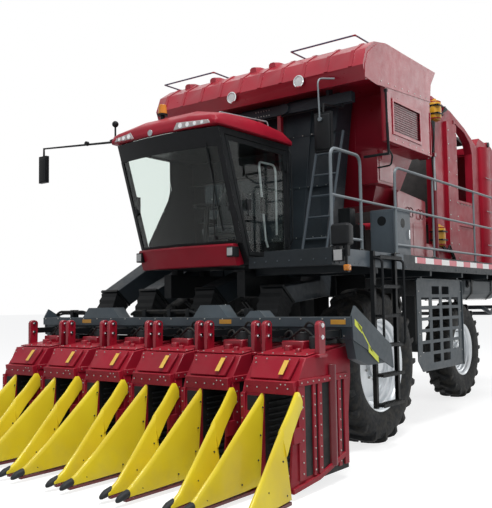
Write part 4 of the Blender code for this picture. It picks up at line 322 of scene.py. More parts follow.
BELT = ribbed_belt()
SEAT_CLOTH = woven_cloth("woven_seat_cloth", "23262a", "3b4046")
SCREEN_GLASS = glass_pane("green_tinted_glass", "eff5f2", 0.02)
AMBER = lens("amber_acrylic_lens", "e08a1c", through=0.25)
CLEAR = lens("clear_acrylic_lens", "e8eaea", through=0.5)
TAPE_YELLOW = plain("lime_reflective_tape", "e3e93a", 0.3, pebble_mm=8.0, strength=0.35, variation="d6df2c")
TAPE_AMBER = plain("amber_reflective_tape", "c9922a", 0.3, pebble_mm=8.0, strength=0.35, variation="b98420")
TAPE_BLOCKS = striped_tape("red_white_reflective_tape", "c8324a", "e9e8e6", 560)
LOOP_BLUE = plain("blued_steel_wire", "33405a", 0.4, 0.3)
LABEL = plain("blank_vinyl_label", "e6bd55", 0.45, variation="dcae48", variation_mm=60)
CANISTER = plain("ochre_enamel", "cf9a26", 0.3, variation="b88318")
PALE_STEEL = plain("dull_galvanised_steel", "a3a8ab", 0.45, 0.7, variation="8b9094")
MIRROR_FACE = plain("silvered_mirror", "dfe4e6", 0.04, 1.0, strength=0.0)


# Mesh helpers


PLANES = {
    "side": lambda u, v, w: (w, u, v),
    "front": lambda u, v, w: (u, w, v),
    "plan": lambda u, v, w: (u, v, w),
}


def link(name, mesh):
    item = bpy.data.objects.new(name, mesh)
    bpy.context.scene.collection.objects.link(item)
    return item


def bevel(item, width, segments=2, angle=32.0):
    """Round the sharp edges of a piece, as folded sheet and castings are."""
    modifier = item.modifiers.new("edge_round", "BEVEL")
    modifier.width = width
    modifier.segments = segments
    modifier.limit_method = "ANGLE"
    modifier.angle_limit = math.radians(angle)
    modifier.harden_normals = False


def piece(name, bm, body, material, edge=0.0, smooth=SMOOTH_ANGLE):
    """Turn a mesh in work into a finished piece on a body, or on no body where none is given."""
    bmesh.ops.remove_doubles(bm, verts=bm.verts, dist=0.02 * MM)
    bmesh.ops.recalc_face_normals(bm, faces=bm.faces)
    mesh = bpy.data.meshes.new(name)
    bm.to_mesh(mesh)
    bm.free()
    mesh.materials.append(material)
    mesh.shade_smooth()
    mesh.set_sharp_from_angle(angle=math.radians(smooth))
    item = link(name, mesh)
    if edge:
        bevel(item, edge)
    if body:
        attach(item, body)
    return item


def block(bm, low, high):
    """A box between two corners."""
    middle = (Vector(low) + Vector(high)) / 2
    size = Vector(high) - Vector(low)
    bmesh.ops.create_cube(bm, size=1.0, matrix=Matrix.LocRotScale(middle, None, size))


def prism(bm, outline, plane, offset, thickness):
    """A flat outline given thickness in one of the three planes."""
    place = PLANES[plane]
    rings = [[bm.verts.new(place(u, v, w)) for u, v in outline] for w in (offset, offset + thickness)]
    skin(bm, rings)


def skin(bm, rings, closed=True):
    """Faces between matching rings of points, with both ends capped."""
    for lower, upper in zip(rings, rings[1:]):
        for index in range(len(lower)):
            following = (index + 1) % len(lower)
            bm.faces.new((lower[index], lower[following], upper[following], upper[index]))
    if closed:
        bm.faces.new(list(reversed(rings[0])))
        bm.faces.new(rings[-1])


def loft(bm, sections):
    skin(bm, [[bm.verts.new(point) for point in section] for section in sections])


def rod(bm, start, end, radius, sides=16, end_radius=None):
    """A round bar or cone between two centres."""
    axis = Vector(end) - Vector(start)
    turn = Vector((0, 0, 1)).rotation_difference(axis).to_matrix().to_4x4()
    matrix = Matrix.Translation((Vector(start) + Vector(end)) / 2) @ turn
    tip = radius if end_radius is None else end_radius
    bmesh.ops.create_cone(bm, cap_ends=True, segments=sides, radius1=radius, radius2=tip, depth=axis.length,
                          matrix=matrix)


def lathe(bm, profile, centre, steps, side=1, closed=True):
    """Turn a profile of (radius, place along X) about an X axis through a centre."""
    rings = []
    for step in range(steps):
        angle = FULL_TURN * step / steps
        rings.append([bm.verts.new((centre[0] + side * along, centre[1] + radius * math.cos(angle),
                                    centre[2] + radius * math.sin(angle))) for radius, along in profile])
    count = len(profile)
    for index, ring in enumerate(rings):
        after = rings[(index + 1) % steps]
        for point in range(count if closed else count - 1):
            following = (point + 1) % count
            bm.faces.new((ring[point], ring[following], after[following], after[point]))


def rounded(points, radius, steps=5):
    """The same run with each inner corner turned into an arc of about that radius."""
    points = [Vector(point) for point in points]
    run = [points[0]]
    for before, corner, after in zip(points, points[1:], points[2:]):
        back = before - corner
        ahead = after - corner
        cut = min(radius, back.length * 0.45, ahead.length * 0.45)
        start = corner + back.normalized() * cut
        end = corner + ahead.normalized() * cut
        for step in range(steps + 1):
            share = step / steps
            run.append(start * (1 - share) ** 2 + corner * 2 * share * (1 - share) + end * share ** 2)
    run.append(points[-1])
    return run


def tube(bm, points, radius, bend=0.0, closed=False, sides_level=2):
    """A tube along a run of points, bent round its corners where a bend radius is given."""
    curve = bpy.data.curves.new("run", "CURVE")
    curve.dimensions = "3D"
    curve.bevel_depth = radius
    curve.bevel_resolution = sides_level
    curve.use_fill_caps = True
    run = rounded(points, bend) if bend else [Vector(point) for point in points]
    spline = curve.splines.new("POLY")
    spline.points.add(len(run) - 1)
    for point, place in zip(spline.points, run):
        point.co = (*place, 1.0)
    spline.use_cyclic_u = closed
    drawn = link("run", curve)
    mesh = bpy.data.meshes.new_from_object(drawn)
    bm.from_mesh(mesh)
    bpy.data.objects.remove(drawn, do_unlink=True)
    bpy.data.meshes.remove(mesh)
    bpy.data.curves.remove(curve)


# Repeats made by Geometry Nodes


def node_group(name, sockets):
    """A geometry tree with named inputs and one geometry output."""
    tree = bpy.data.node_groups.new(name, "GeometryNodeTree")
    tree.interface.new_socket("Geometry", in_out="INPUT", socket_type="NodeSocketGeometry")
    tree.interface.new_socket("Geometry", in_out="OUTPUT", socket_type="NodeSocketGeometry")
    names = {}
    for label, kind in sockets:
        names[label] = tree.interface.new_socket(label, in_out="INPUT", socket_type=kind).identifier
    return tree, names, add_node(tree, "NodeGroupInput")


def finish_tree(tree, copies, given):
    """Make the copies real and give them their finish."""
    made = add_node(tree, "GeometryNodeRealizeInstances", {"Geometry": copies.outputs["Instances"]})
    inputs = {"Geometry": made.outputs["Geometry"], "Material": given.outputs["Finish"]}
    shown = add_node(tree, "GeometryNodeSetMaterial", inputs)
    add_node(tree, "NodeGroupOutput", {"Geometry": shown.outputs["Geometry"]})


def fastener_tree():
    """A small round or hexagonal head at every point, standing along the point's own direction."""
    tree, names, given = node_group("fasteners", (
        ("Radius", "NodeSocketFloat"), ("Height", "NodeSocketFloat"), ("Sides", "NodeSocketInt"),
        ("Finish", "NodeSocketMaterial")))
    radius = given.outputs["Radius"]
    inputs = {"Vertices": given.outputs["Sides"], "Radius Top": reckon(tree, "MULTIPLY", radius, 0.8),
              "Radius Bottom": radius, "Depth": given.outputs["Height"]}
    head = add_node(tree, "GeometryNodeMeshCone", inputs).outputs["Mesh"]
    facing = add_node(tree, "GeometryNodeInputNamedAttribute", {"Name": "facing"}, data_type="FLOAT_VECTOR")
    inputs = {"Vector": facing.outputs["Attribute"]}
    turn = add_node(tree, "FunctionNodeAlignRotationToVector", inputs, axis="Z")
    inputs = {"Points": given.outputs["Geometry"], "Instance": head, "Rotation": turn.outputs["Rotation"]}
    finish_tree(tree, add_node(tree, "GeometryNodeInstanceOnPoints", inputs), given)
    return tree, names


def repeat_tree():
    """Copies of one piece in a straight row, or in a ring about an X axis."""
    tree, names, given = node_group("repeats", (
        ("Count", "NodeSocketInt"), ("Step", "NodeSocketVector"), ("Turn", "NodeSocketFloat"),
        ("Centre", "NodeSocketVector"), ("Finish", "NodeSocketMaterial")))
    index = add_node(tree, "GeometryNodeInputIndex").outputs["Index"]
    shift = add_node(tree, "ShaderNodeVectorMath", {0: given.outputs["Step"]}, operation="SCALE")
    tree.links.new(index, shift.inputs["Scale"])
    where = add_node(tree, "ShaderNodeVectorMath", {0: given.outputs["Centre"], 1: shift.outputs[0]})
    inputs = {"Count": given.outputs["Count"], "Position": where.outputs[0]}
    points = add_node(tree, "GeometryNodePoints", inputs)
    angle = reckon(tree, "MULTIPLY", index, given.outputs["Turn"])
    turn = add_node(tree, "ShaderNodeCombineXYZ", {"X": angle}).outputs[0]
    back = add_node(tree, "ShaderNodeVectorMath", {0: given.outputs["Centre"]}, operation="SCALE")
    back.inputs["Scale"].default_value = -1.0
    inputs = {"Geometry": given.outputs["Geometry"], "Translation": back.outputs[0]}
    centred = add_node(tree, "GeometryNodeTransform", inputs)
    inputs = {"Points": points.outputs[0], "Instance": centred.outputs[0], "Rotation": turn}
    finish_tree(tree, add_node(tree, "GeometryNodeInstanceOnPoints", inputs), given)
    return tree, names


FASTENERS = fastener_tree()
REPEATS = repeat_tree()


def run_tree(item, group, values):
    """Run a geometry tree on an object and keep the result as a plain mesh."""
    tree, names = group
    modifier = item.modifiers.new("tree", "NODES")
    modifier.node_group = tree
    for label, value in values.items():
        modifier[names[label]] = value
    bpy.context.view_layer.update()
    graph = bpy.context.evaluated_depsgraph_get()
    mesh = bpy.data.meshes.new_from_object(item.evaluated_get(graph))
    old = item.data
    item.modifiers.remove(modifier)
    item.data = mesh
    bpy.data.meshes.remove(old)
    mesh.shade_smooth()
    mesh.set_sharp_from_angle(angle=math.radians(SMOOTH_ANGLE))
    return item


def bolts(name, body, places, radius=0.011, height=0.009, sides=6, material=None):
    """Bolt heads at (point, direction) places."""
    mesh = bpy.data.meshes.new(name)
    mesh.from_pydata([point for point, direction in places], [], [])
    facing = mesh.attributes.new("facing", "FLOAT_VECTOR", "POINT")
    facing.data.foreach_set("vector", [value for point, direction in places for value in direction])
    item = run_tree(link(name, mesh), FASTENERS, {"Radius": radius, "Height": height, "Sides": sides,
                                                  "Finish": material or BOLT})
    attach(item, body)
    return item


def repeats(name, body, bm, count, material, step=(0.0, 0.0, 0.0), turn=0.0, centre=(0.0, 0.0, 0.0),
            edge=0.0):
    """Copies of the mesh in work along a step, or turned about an X axis through a centre."""
    bmesh.ops.recalc_face_normals(bm, faces=bm.faces)
    mesh = bpy.data.meshes.new(name)
    bm.to_mesh(mesh)
    bm.free()
    item = run_tree(link(name, mesh), REPEATS, {"Count": count, "Step": step, "Turn": turn, "Centre": centre,
                                                "Finish": material})
    if edge:
        bevel(item, edge, 1)
    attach(item, body)
    return item


# CAD nodes that keep their form


def softened(node, width, material, body=None):
    """A copy of a CAD node with its flat faces merged and its edges rounded; it stands for the node."""
    source = NODES[node]
    bm = bmesh.new()
    bm.from_mesh(source.data)
    bmesh.ops.remove_doubles(bm, verts=bm.verts, dist=0.05 * MM)
    bmesh.ops.dissolve_limit(bm, angle_limit=math.radians(1.0), verts=bm.verts, edges=bm.edges)
    mesh = bpy.data.meshes.new(node + "_skin")
    bm.to_mesh(mesh)
    bm.free()
    mesh.materials.clear()
    mesh.materials.append(material)
    mesh.shade_smooth()
    mesh.set_sharp_from_angle(angle=math.radians(SMOOTH_ANGLE))
    item = link(node + "_skin", mesh)
    if width:
        bevel(item, width)
    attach(item, body or source["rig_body"])
    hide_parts(node)
    return item


def dress(node, material):
    """Give a CAD node that stays its finish."""
    mesh = NODES[node].data
    mesh.materials.clear()
    mesh.materials.append(material)


SOFT_NODES = {
    "front_axle": (0.008, CASTING), "rear_axle": (0.006, CASTING), "chassis_frame": (0.006, BLACK_STEEL),
    "lift_barrel_left": (0.002, BLACK_STEEL), "lift_barrel_right": (0.002, BLACK_STEEL),
    "lift_rod_left": (0.001, CHROME), "lift_rod_right": (0.001, CHROME),
    "steering_knuckle_left": (0.004, CASTING), "steering_knuckle_right": (0.004, CASTING),
}


def carved(bm, cutter):
    """The mesh in work with another one cut out of it."""
    items = []
    for label, work in (("carve_body", bm), ("carve_tool", cutter)):
        bmesh.ops.recalc_face_normals(work, faces=work.faces)
        mesh = bpy.data.meshes.new(label)
        work.to_mesh(mesh)
        work.free()
        items.append(link(label, mesh))
    modifier = items[0].modifiers.new("carve", "BOOLEAN")
    modifier.operation = "DIFFERENCE"
    modifier.solver = "EXACT"
    modifier.object = items[1]
    bpy.context.view_layer.update()
    mesh = bpy.data.meshes.new_from_object(items[0].evaluated_get(bpy.context.evaluated_depsgraph_get()))
    result = bmesh.new()
    result.from_mesh(mesh)
    for item in items:
        bpy.data.objects.remove(item, do_unlink=True)
    bpy.data.meshes.remove(mesh)
    return result


def slab(bm, corners, thickness):
    """A flat plate: corners in order round one face, thickened along that face's normal."""
    corners = [Vector(corner) for corner in corners]
    normal = (corners[1] - corners[0]).cross(corners[2] - corners[1]).normalized() * thickness
    skin(bm, [[bm.verts.new(corner + shift) for corner in corners] for shift in (Vector(), normal)])


# Header: six row units on the toolbar


ROW_PITCH = 0.76
HEAD_COUNT = 6
HEAD_X = -(HEAD_COUNT - 1) / 2 * ROW_PITCH
ROW_STEP = (ROW_PITCH, 0.0, 0.0)
HEAD_SIDE = ((-4.083, 0.058), (-3.60, 0.10), (-3.10, 0.23), (-3.00, 0.60), (-2.94, 1.00), (-2.94, 1.34),
             (-3.779, 1.253), (-3.95, 1.02), (-3.98, 0.93))
THROAT = (0.005, 0.312, 0.93)
BOARD_FACE = 2.4081
TAPE_THICKNESS = 0.0004


def head_row(name, bm, material, edge=0.0, nodes=()):
    """One row unit's piece, repeated along the toolbar."""
    item = repeats(name, "header", bm, HEAD_COUNT, material, step=ROW_STEP, edge=edge)
    if nodes:
        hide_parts(*nodes)
    return item


def head_bolts(name, places, radius=0.009, height=0.008, material=None):
    """Bolt heads repeated on every row unit."""
    every = []
    for index in range(HEAD_COUNT):
        shift = Vector((HEAD_X + index * ROW_PITCH, 0.0, 0.0))
        every += [(shift + Vector(point), direction) for point, direction in places]
    bolts(name, "header", every, radius, height, 6, material)


def header_cabinets():
    """Red cabinets with the open throat, a raised lower band, a framed upper panel and side ribs."""
    x = HEAD_X
    left, right, top = THROAT
    bm = bmesh.new()
    prism(bm, HEAD_SIDE, "side", x - 0.264, 0.601)
    cutter = bmesh.new()
    block(cutter, (x + left, -4.20, -0.05), (x + right, -2.80, top))
    nodes = ["picker_head_%d" % index for index in range(1, HEAD_COUNT + 1)]
    head_row("row_unit_cabinets", carved(bm, cutter), SATIN_RED, 0.007, nodes)
    bm = bmesh.new()
    prism(bm, ((-3.988, 0.925), (-4.006, 1.045), (-3.94, 1.05), (-3.95, 0.925)), "side", x - 0.215, 0.552)
    slab(bm, ((x - 0.180, -3.963, 1.066), (x + 0.262, -3.963, 1.066), (x + 0.292, -3.822, 1.258),
              (x - 0.240, -3.822, 1.258)), -0.024)
    slab(bm, ((x - 0.255, -3.75, 1.262), (x + 0.325, -3.75, 1.262), (x + 0.325, -3.02, 1.336),
              (x - 0.255, -3.02, 1.336)), 0.012)
    block(bm, (x - 0.264, -4.012, 0.10), (x - 0.215, -3.97, 0.925))
    for y, width in ((-3.70, 0.050), (-3.605, 0.070), (-3.235, 0.060), (-3.115, 0.080)):
        block(bm, (x + 0.335, y, 0.16), (x + 0.358, y + width, 1.03))
    block(bm, (x + 0.335, -3.94, 0.15), (x + 0.352, -3.83, 1.00))
    block(bm, (x + 0.335, -3.94, 1.00), (x + 0.362, -3.02, 1.06))
    rib = ((-4.06, 0.060), (-3.60, 0.105), (-3.12, 0.235), (-3.12, 0.285), (-3.60, 0.155), (-4.05, 0.105))
    prism(bm, rib, "side", x + 0.335, 0.030)
    block(bm, (x + 0.338, -4.06, 0.50), (x + 0.372, -3.93, 0.64))
    head_row("cabinet_bands_and_ribs", bm, SATIN_RED, 0.004)
    bm = bmesh.new()
    rod(bm, (x + 0.340, -3.335, 0.19), (x + 0.340, -3.335, 1.16), 0.050, 20)
    head_row("cabinet_side_columns", bm, DARK_RED, 0.003)
    # Painted shade: thin black sheets on the front beside the post and on both side walls between the ribs,
    # standing in for the shade in these gaps
    bm = bmesh.new()
    block(bm, (x - 0.19, -4.000, 0.12), (x - 0.07, -3.975, 0.90))
    block(bm, (x + 0.3375, -3.83, 0.17), (x + 0.341, -3.05, 1.00))
    block(bm, (x - 0.2675, -3.83, 0.17), (x - 0.264, -3.05, 1.00))
    head_row("cabinet_painted_shade_sheets", bm, BLACK_STEEL)


def header_throats():
    """Black lining of each throat, with a stack of slats on both walls."""
    x = HEAD_X
    left, right, top = THROAT
    bm = bmesh.new()
    block(bm, (x + left + 0.0006, -3.99, 0.10), (x + left + 0.004, -2.97, top - 0.001))
    block(bm, (x + right - 0.004, -3.99, 0.10), (x + right - 0.0006, -2.97, top - 0.001))
    block(bm, (x + left + 0.0006, -3.97, top - 0.004), (x + right - 0.0006, -2.97, top - 0.0006))
    head_row("throat_lining", bm, BLACK_STEEL)
    bm = bmesh.new()
    for index in range(13):
        lift = 0.055 * index
        block(bm, (x + left + 0.004, -3.93, 0.165 + lift), (x + left + 0.022, -3.05, 0.180 + lift))
        block(bm, (x + right - 0.022, -3.93, 0.165 + lift), (x + right - 0.004, -3.05, 0.180 + lift))
    head_row("throat_slats", bm, CASTING)


def divider_section(x, y, ridge_x, ridge_z, low, high, foot):
    """One cut through a divider: flat foot, straight flanks and a broad rounded ridge."""
    drop = min(0.055, (ridge_z - foot) * 0.4)
    ridge = [(x + ridge_x - 0.026, y, ridge_z - drop), (x + ridge_x - 0.021, y, ridge_z - drop * 0.42),
             (x + ridge_x - 0.010, y, ridge_z - drop * 0.08), (x + ridge_x + 0.004, y, ridge_z),
             (x + ridge_x + 0.017, y, ridge_z - drop * 0.30), (x + ridge_x + 0.026, y, ridge_z - drop)]
    return [(x + low, y, foot)] + ridge + [(x + high, y, foot)]


def header_dividers():
    """Yellow crop dividers each side of every throat, their black snouts and the dark runners under them."""
    x = HEAD_X
    face = -3.90
    left = ((-0.05, -0.026, 0.900, -0.056, 0.000, 0.62), (-0.02, -0.026, 0.952, -0.062, 0.001, 0.55),
            (0.03, -0.028, 0.966, -0.084, 0.001, 0.34), (0.09, -0.030, 0.925, -0.112, 0.002, 0.105),
            (0.42, -0.054, 0.632, -0.150, 0.003, 0.090), (0.75, -0.060, 0.352, -0.128, -0.006, 0.080),
            (1.00, -0.056, 0.175, -0.095, -0.020, 0.072), (1.13, -0.053, 0.095, -0.074, -0.032, 0.066))
    horn = ((0.00, 0.346, 0.905, 0.320, 0.368, 0.80), (0.03, 0.346, 0.955, 0.318, 0.370, 0.78),
            (0.08, 0.348, 0.958, 0.318, 0.376, 0.73), (0.25, 0.374, 0.800, 0.334, 0.420, 0.60),
            (0.425, 0.405, 0.672, 0.352, 0.478, 0.45))
    right = ((0.400, 0.405, 0.690, 0.350, 0.500, 0.090), (0.53, 0.420, 0.566, 0.365, 0.512, 0.086),
             (0.78, 0.462, 0.345, 0.416, 0.530, 0.078), (1.00, 0.505, 0.172, 0.474, 0.538, 0.071),
             (1.13, 0.514, 0.095, 0.492, 0.538, 0.066))
    bm = bmesh.new()
    for table in (left, horn, right):
        loft(bm, [divider_section(x, face - along, ridge, high, low, far, foot)
                  for along, ridge, high, low, far, foot in table])
    head_row("crop_dividers", bm, YELLOW, 0.003)
    bm = bmesh.new()
    for centre in (-0.053, 0.497):
        sections = []
        for along, radius, lift in ((1.06, 0.038, 0.100), (1.13, 0.037, 0.084), (1.17, 0.029, 0.070),
                                    (1.192, 0.018, 0.062), (1.198, 0.006, 0.059)):
            sections.append([(x + centre + radius * math.cos(FULL_TURN * step / 14), face - along,
                              lift + radius * math.sin(FULL_TURN * step / 14)) for step in range(14)])
        loft(bm, sections)
    head_row("divider_snouts", bm, CASTING)
    bm = bmesh.new()
    for foot_x, rear_x, start, end in ((-0.030, 0.000, 1.10, 0.09), (0.535, 0.497, 1.10, 0.40)):
        slab(bm, ((x + foot_x - 0.040, face - start, 0.034), (x + foot_x + 0.004, face - start, 0.034),
                  (x + rear_x + 0.004, face - end, 0.046), (x + rear_x - 0.100, face - end, 0.046)), 0.030)
    head_row("divider_runners", bm, DARK_RED, 0.004)
    left_bolts = ((0.12, 0.80, 0.003), (0.16, 0.55, 0.003), (0.20, 0.33, 0.003), (0.62, 0.27, -0.024),
                  (0.90, 0.12, -0.026), (0.45, 0.16, 0.003))
    right_bolts = ((0.14, 0.84, 0.372), (0.47, 0.42, 0.462), (0.74, 0.22, 0.498), (0.98, 0.09, 0.526),
                   (0.47, 0.14, 0.496))
    places = [((side, face - along, up), (0.97, 0.0, 0.24)) for along, up, side in left_bolts]
    places += [((side, face - along, up), (0.94, 0.0, 0.34)) for along, up, side in right_bolts]
    head_bolts("divider_bolts", places, 0.010, 0.006, CASTING)


HANGER_LOWS = (-0.302, 0.325)


def header_hangers():
    """Red hanger plates, two to a row unit, on dark arms, with two bright pins each."""
    x = HEAD_X
    bm = bmesh.new()
    outline = [(-3.600, 1.24), (-3.482, 1.27), (-3.476, 1.560), (-3.50, 1.583), (-3.54, 1.592),
               (-3.578, 1.583), (-3.600, 1.555)]
    for low in HANGER_LOWS:
        prism(bm, outline, "side", x + low, 0.05)
        block(bm, (x + low - 0.010, -3.612, 1.240), (x + low + 0.060, -3.46, 1.275))
    head_row("row_unit_hangers", bm, RED, 0.006)
    bm = bmesh.new()
    for low in HANGER_LOWS:
        block(bm, (x + low + 0.008, -3.4805, 1.420), (x + low + 0.042, -3.1665, 1.490))
        block(bm, (x + low - 0.004, -3.200, 1.407), (x + low + 0.054, -3.1665, 1.499))
    head_row("hanger_arms", bm, BLACK_STEEL, 0.003)
    bm = bmesh.new()
    for low in HANGER_LOWS:
        for y, z in ((-3.54, 1.548), (-3.545, 1.435)):
            rod(bm, (x + low - 0.018, y, z), (x + low + 0.068, y, z), 0.015, 12)
            rod(bm, (x + low - 0.010, y, z), (x + low + 0.060, y, z), 0.023, 12)
    head_row("hanger_pins", bm, CHROME)


def header_fittings():
    """Blank plates, bolt rows, gearbox lumps and hoses on and behind the row units."""
    x = HEAD_X
    bm = bmesh.new()
    slab(bm, ((x + 0.150, -3.9715, 1.108), (x + 0.202, -3.9715, 1.108), (x + 0.216, -3.8800, 1.232),
              (x + 0.164, -3.8800, 1.232)), -0.0018)
    head_row("cabinet_blank_plates", bm, LABEL)
    out = (0.0, -0.80, 0.60)
    front = (0.0, -1.0, 0.05)
    side = (1.0, 0.0, 0.0)
    places = [((-0.18 + 0.115 * step, -4.005, 0.985), front) for step in range(5)]
    places += [((0.20 + 0.05 * step, -3.998, 1.020), front) for step in range(2)]
    places += [((-0.240, -4.012, 0.16 + 0.105 * step), front) for step in range(8)]
    places += [((across, -3.8588, 1.2375), out) for across in (-0.18, -0.05, 0.21)]
    places.append(((-0.16, -3.885, 1.20), out))
    for y in (-3.885, -3.675, -3.570, -3.205):
        places += [((0.358, y, 0.21 + 0.10 * step), side) for step in range(8)]
    places += [((0.362, -3.90 + 0.10 * step, 1.03), side) for step in range(9)]
    places += [((-0.22 + 0.13 * step, -3.70, 1.279), (0.0, -0.1, 1.0)) for step in range(5)]
    head_bolts("cabinet_bolts", places, 0.0085, 0.007, BOLT)
    bm = bmesh.new()
    block(bm, (x - 0.16, -3.45, 1.29), (x + 0.10, -3.18, 1.385))
    rod(bm, (x - 0.03, -3.52, 1.28), (x - 0.03, -3.52, 1.345), 0.045, 16)
    rod(bm, (x + 0.14, -3.60, 1.27), (x + 0.14, -3.60, 1.325), 0.030, 12)
    head_row("cabinet_top_covers", bm, RED, 0.008)
    bm = bmesh.new()
    rod(bm, (x - 0.02, -3.28, 1.34), (x - 0.02, -3.28, 1.47), 0.075, 18)
    rod(bm, (x + 0.17, -3.36, 1.30), (x + 0.17, -3.36, 1.43), 0.050, 16)
    block(bm, (x - 0.10, -3.175, 1.17), (x + 0.20, -2.96, 1.385))
    head_row("row_unit_gearboxes", bm, CASTING, 0.006)
    bm = bmesh.new()
    for start, middle, end in (((-0.02, -3.28, 1.46), (0.10, -3.34, 1.60), (0.24, -3.25, 1.42)),
                               ((0.17, -3.36, 1.42), (0.08, -3.40, 1.52), (-0.16, -3.30, 1.40)),
                               ((-0.14, -3.24, 1.37), (-0.20, -3.22, 1.50), (-0.30, -3.24, 1.40))):
        points = [Vector(point) + Vector((x, 0.0, 0.0)) for point in (start, middle, end)]
        tube(bm, points, 0.013, 0.09)
    head_row("row_unit_hoses", bm, RUBBER)


def toolbar_details():
    """Amber reflectors, two bolt rows and clamped hoses along the bar, and the marker boards' tape."""
    softened("header_toolbar", 0.006, GREY)
    bm = bmesh.new()
    for centre in (-1.50, 0.82, 2.26):
        block(bm, (centre - 0.085, -3.2085, 1.545), (centre + 0.085, -3.2052, 1.592))
    piece("toolbar_reflectors", bm, "header", TAPE_AMBER, 0.001)
    places = [((-2.30 + 0.115 * step, -3.165, 1.43), (0.0, -1.0, 0.0)) for step in range(41)]
    places += [((-2.34 + 0.26 * step, -3.205, 1.60), (0.0, -1.0, 0.0)) for step in range(19)]
    bolts("toolbar_bolts", "header", places, 0.009, 0.007)
    bm = bmesh.new()
    for low, high in ((-2.34, -1.66), (-0.86, 0.24), (0.86, 1.02)):
        run = [(low, -3.02, 1.65), (low + 0.08, -3.03, 1.69), (high - 0.08, -3.05, 1.69), (high, -3.02, 1.65)]
        tube(bm, run, 0.018, 0.05)
        run = [(low, -2.99, 1.64), (low + 0.10, -2.99, 1.665), (high - 0.12, -2.98, 1.66),
               (high, -2.99, 1.63)]
        tube(bm, run, 0.014, 0.05)
    piece("toolbar_hoses", bm, "header", RUBBER)
    bm = bmesh.new()
    for low in (-2.0, -0.62, -0.20, 0.10, 0.98):
        block(bm, (low, -3.07, 1.614), (low + 0.055, -2.965, 1.715))
    piece("toolbar_hose_clamps", bm, "header", BLACK_STEEL, 0.003)
    bm = bmesh.new()
    for side in (1, -1):
        near = side * BOARD_FACE
        for corners in (((-3.135, 1.600), (-2.985, 1.510), (-2.985, 1.445), (-3.135, 1.535)),
                        ((-3.085, 1.560), (-3.045, 1.540), (-2.755, 1.245), (-2.795, 1.262)),
                        ((-2.855, 1.320), (-2.640, 1.195), (-2.640, 1.130), (-2.855, 1.255))):
            prism(bm, corners, "side", min(near, near + side * TAPE_THICKNESS), TAPE_THICKNESS)
    piece("marker_board_tape", bm, "header", TAPE_YELLOW)


def build_header():
    header_cabinets()
    header_throats()
    header_dividers()
    header_hangers()
    header_fittings()
    toolbar_details()


# Cab


CAB_HALF = 0.82
SILL_LAMPS = (-0.765, 0.715)
BEACON = (-0.29, -3.02)
DOME = (-0.93, -3.22)
SCREEN_FOOT = (-2.86, 2.47)
SCREEN_HEAD = (-3.28, 3.78)


def screen_y(z):
    """Where the leaning windscreen plane stands at a height."""
    share = (z - SCREEN_FOOT[1]) / (SCREEN_HEAD[1] - SCREEN_FOOT[1])
    return SCREEN_FOOT[0] + share * (SCREEN_HEAD[0] - SCREEN_FOOT[0])


def screen_point(x, z, ahead=0.0):
    """A point on the bowed windscreen, pushed out by a distance."""
    share = x / CAB_HALF
    return Vector((x, screen_y(z) - 0.10 * (1 - share * share) - ahead, z))


def screen_strip(bm, x_low, x_high, z_low, z_high, ahead, thickness, columns=12):
    """A strip that follows the windscreen's bow."""
    sections = []
    back = Vector((0.0, thickness, 0.0))
    for index in range(columns + 1):
        x = x_low + (x_high - x_low) * index / columns
        low = screen_point(x, z_low, ahead + thickness)
        high = screen_point(x, z_high, ahead + thickness)
        sections.append([low, high, high + back, low + back])
    loft(bm, sections)


def cab_shell():
    """Black frame, the dark band round the screen, the red sill panel with its lamps, and the wiper."""
    softened("cab_frame", 0.012, BLACK_STEEL)
    bm = bmesh.new()
    screen_strip(bm, -0.815, 0.815, 3.56, 3.768, 0.008, 0.003)
    screen_strip(bm, -0.819, -0.765, 2.475, 3.57, 0.008, 0.006, 3)
    screen_strip(bm, 0.755, 0.819, 2.475, 3.57, 0.008, 0.006, 3)
    screen_strip(bm, -0.815, 0.815, 2.472, 2.500, 0.008, 0.004)
    piece("windscreen_dark_band", bm, "machine", BLACK_PLASTIC)
    bm = bmesh.new()
    sections = []
    for index in range(15):
        x = -0.80 + 1.54 * index / 14
        bow = 0.09 * (1 - (x / 0.80) ** 2)
        sections.append([(x, -2.945 - bow, 2.445), (x, -2.925 - bow, 2.466), (x, -2.74 - bow * 0.4, 2.468),
                         (x, -2.735 - bow * 0.4, 2.230), (x, -2.835 - bow, 2.208), (x, -2.870 - bow, 2.216)])
    loft(bm, sections)
    piece("cab_sill_panel", bm, "machine", SATIN_RED, 0.004)
    bm = bmesh.new()
    for x in SILL_LAMPS:
        block(bm, (x - 0.050, -2.975, 2.31), (x + 0.050, -2.86, 2.43))
    piece("sill_lamp_housings", bm, "machine", BLACK_PLASTIC, 0.006)
    bm = bmesh.new()
    for x in SILL_LAMPS:
        block(bm, (x - 0.038, -2.982, 2.325), (x + 0.038, -2.9745, 2.415))
    piece("sill_lamps", bm, "machine", CLEAR, 0.003)
    bm = bmesh.new()
    foot = screen_point(0.50, 2.55, 0.03)
    blade_low, blade_high = screen_point(0.62, 2.62, 0.022), screen_point(0.63, 3.60, 0.022)
    middle = (blade_low + blade_high) / 2
    tube(bm, [foot, screen_point(0.57, 2.90, 0.035), middle + Vector((0.0, -0.012, 0.0))], 0.007)
    rod(bm, screen_point(0.50, 2.54, 0.0), foot, 0.020)
    tube(bm, [blade_low, middle + Vector((0.0, -0.004, 0.0)), blade_high], 0.008)
    piece("screen_wiper", bm, "machine", BLACK_PLASTIC)


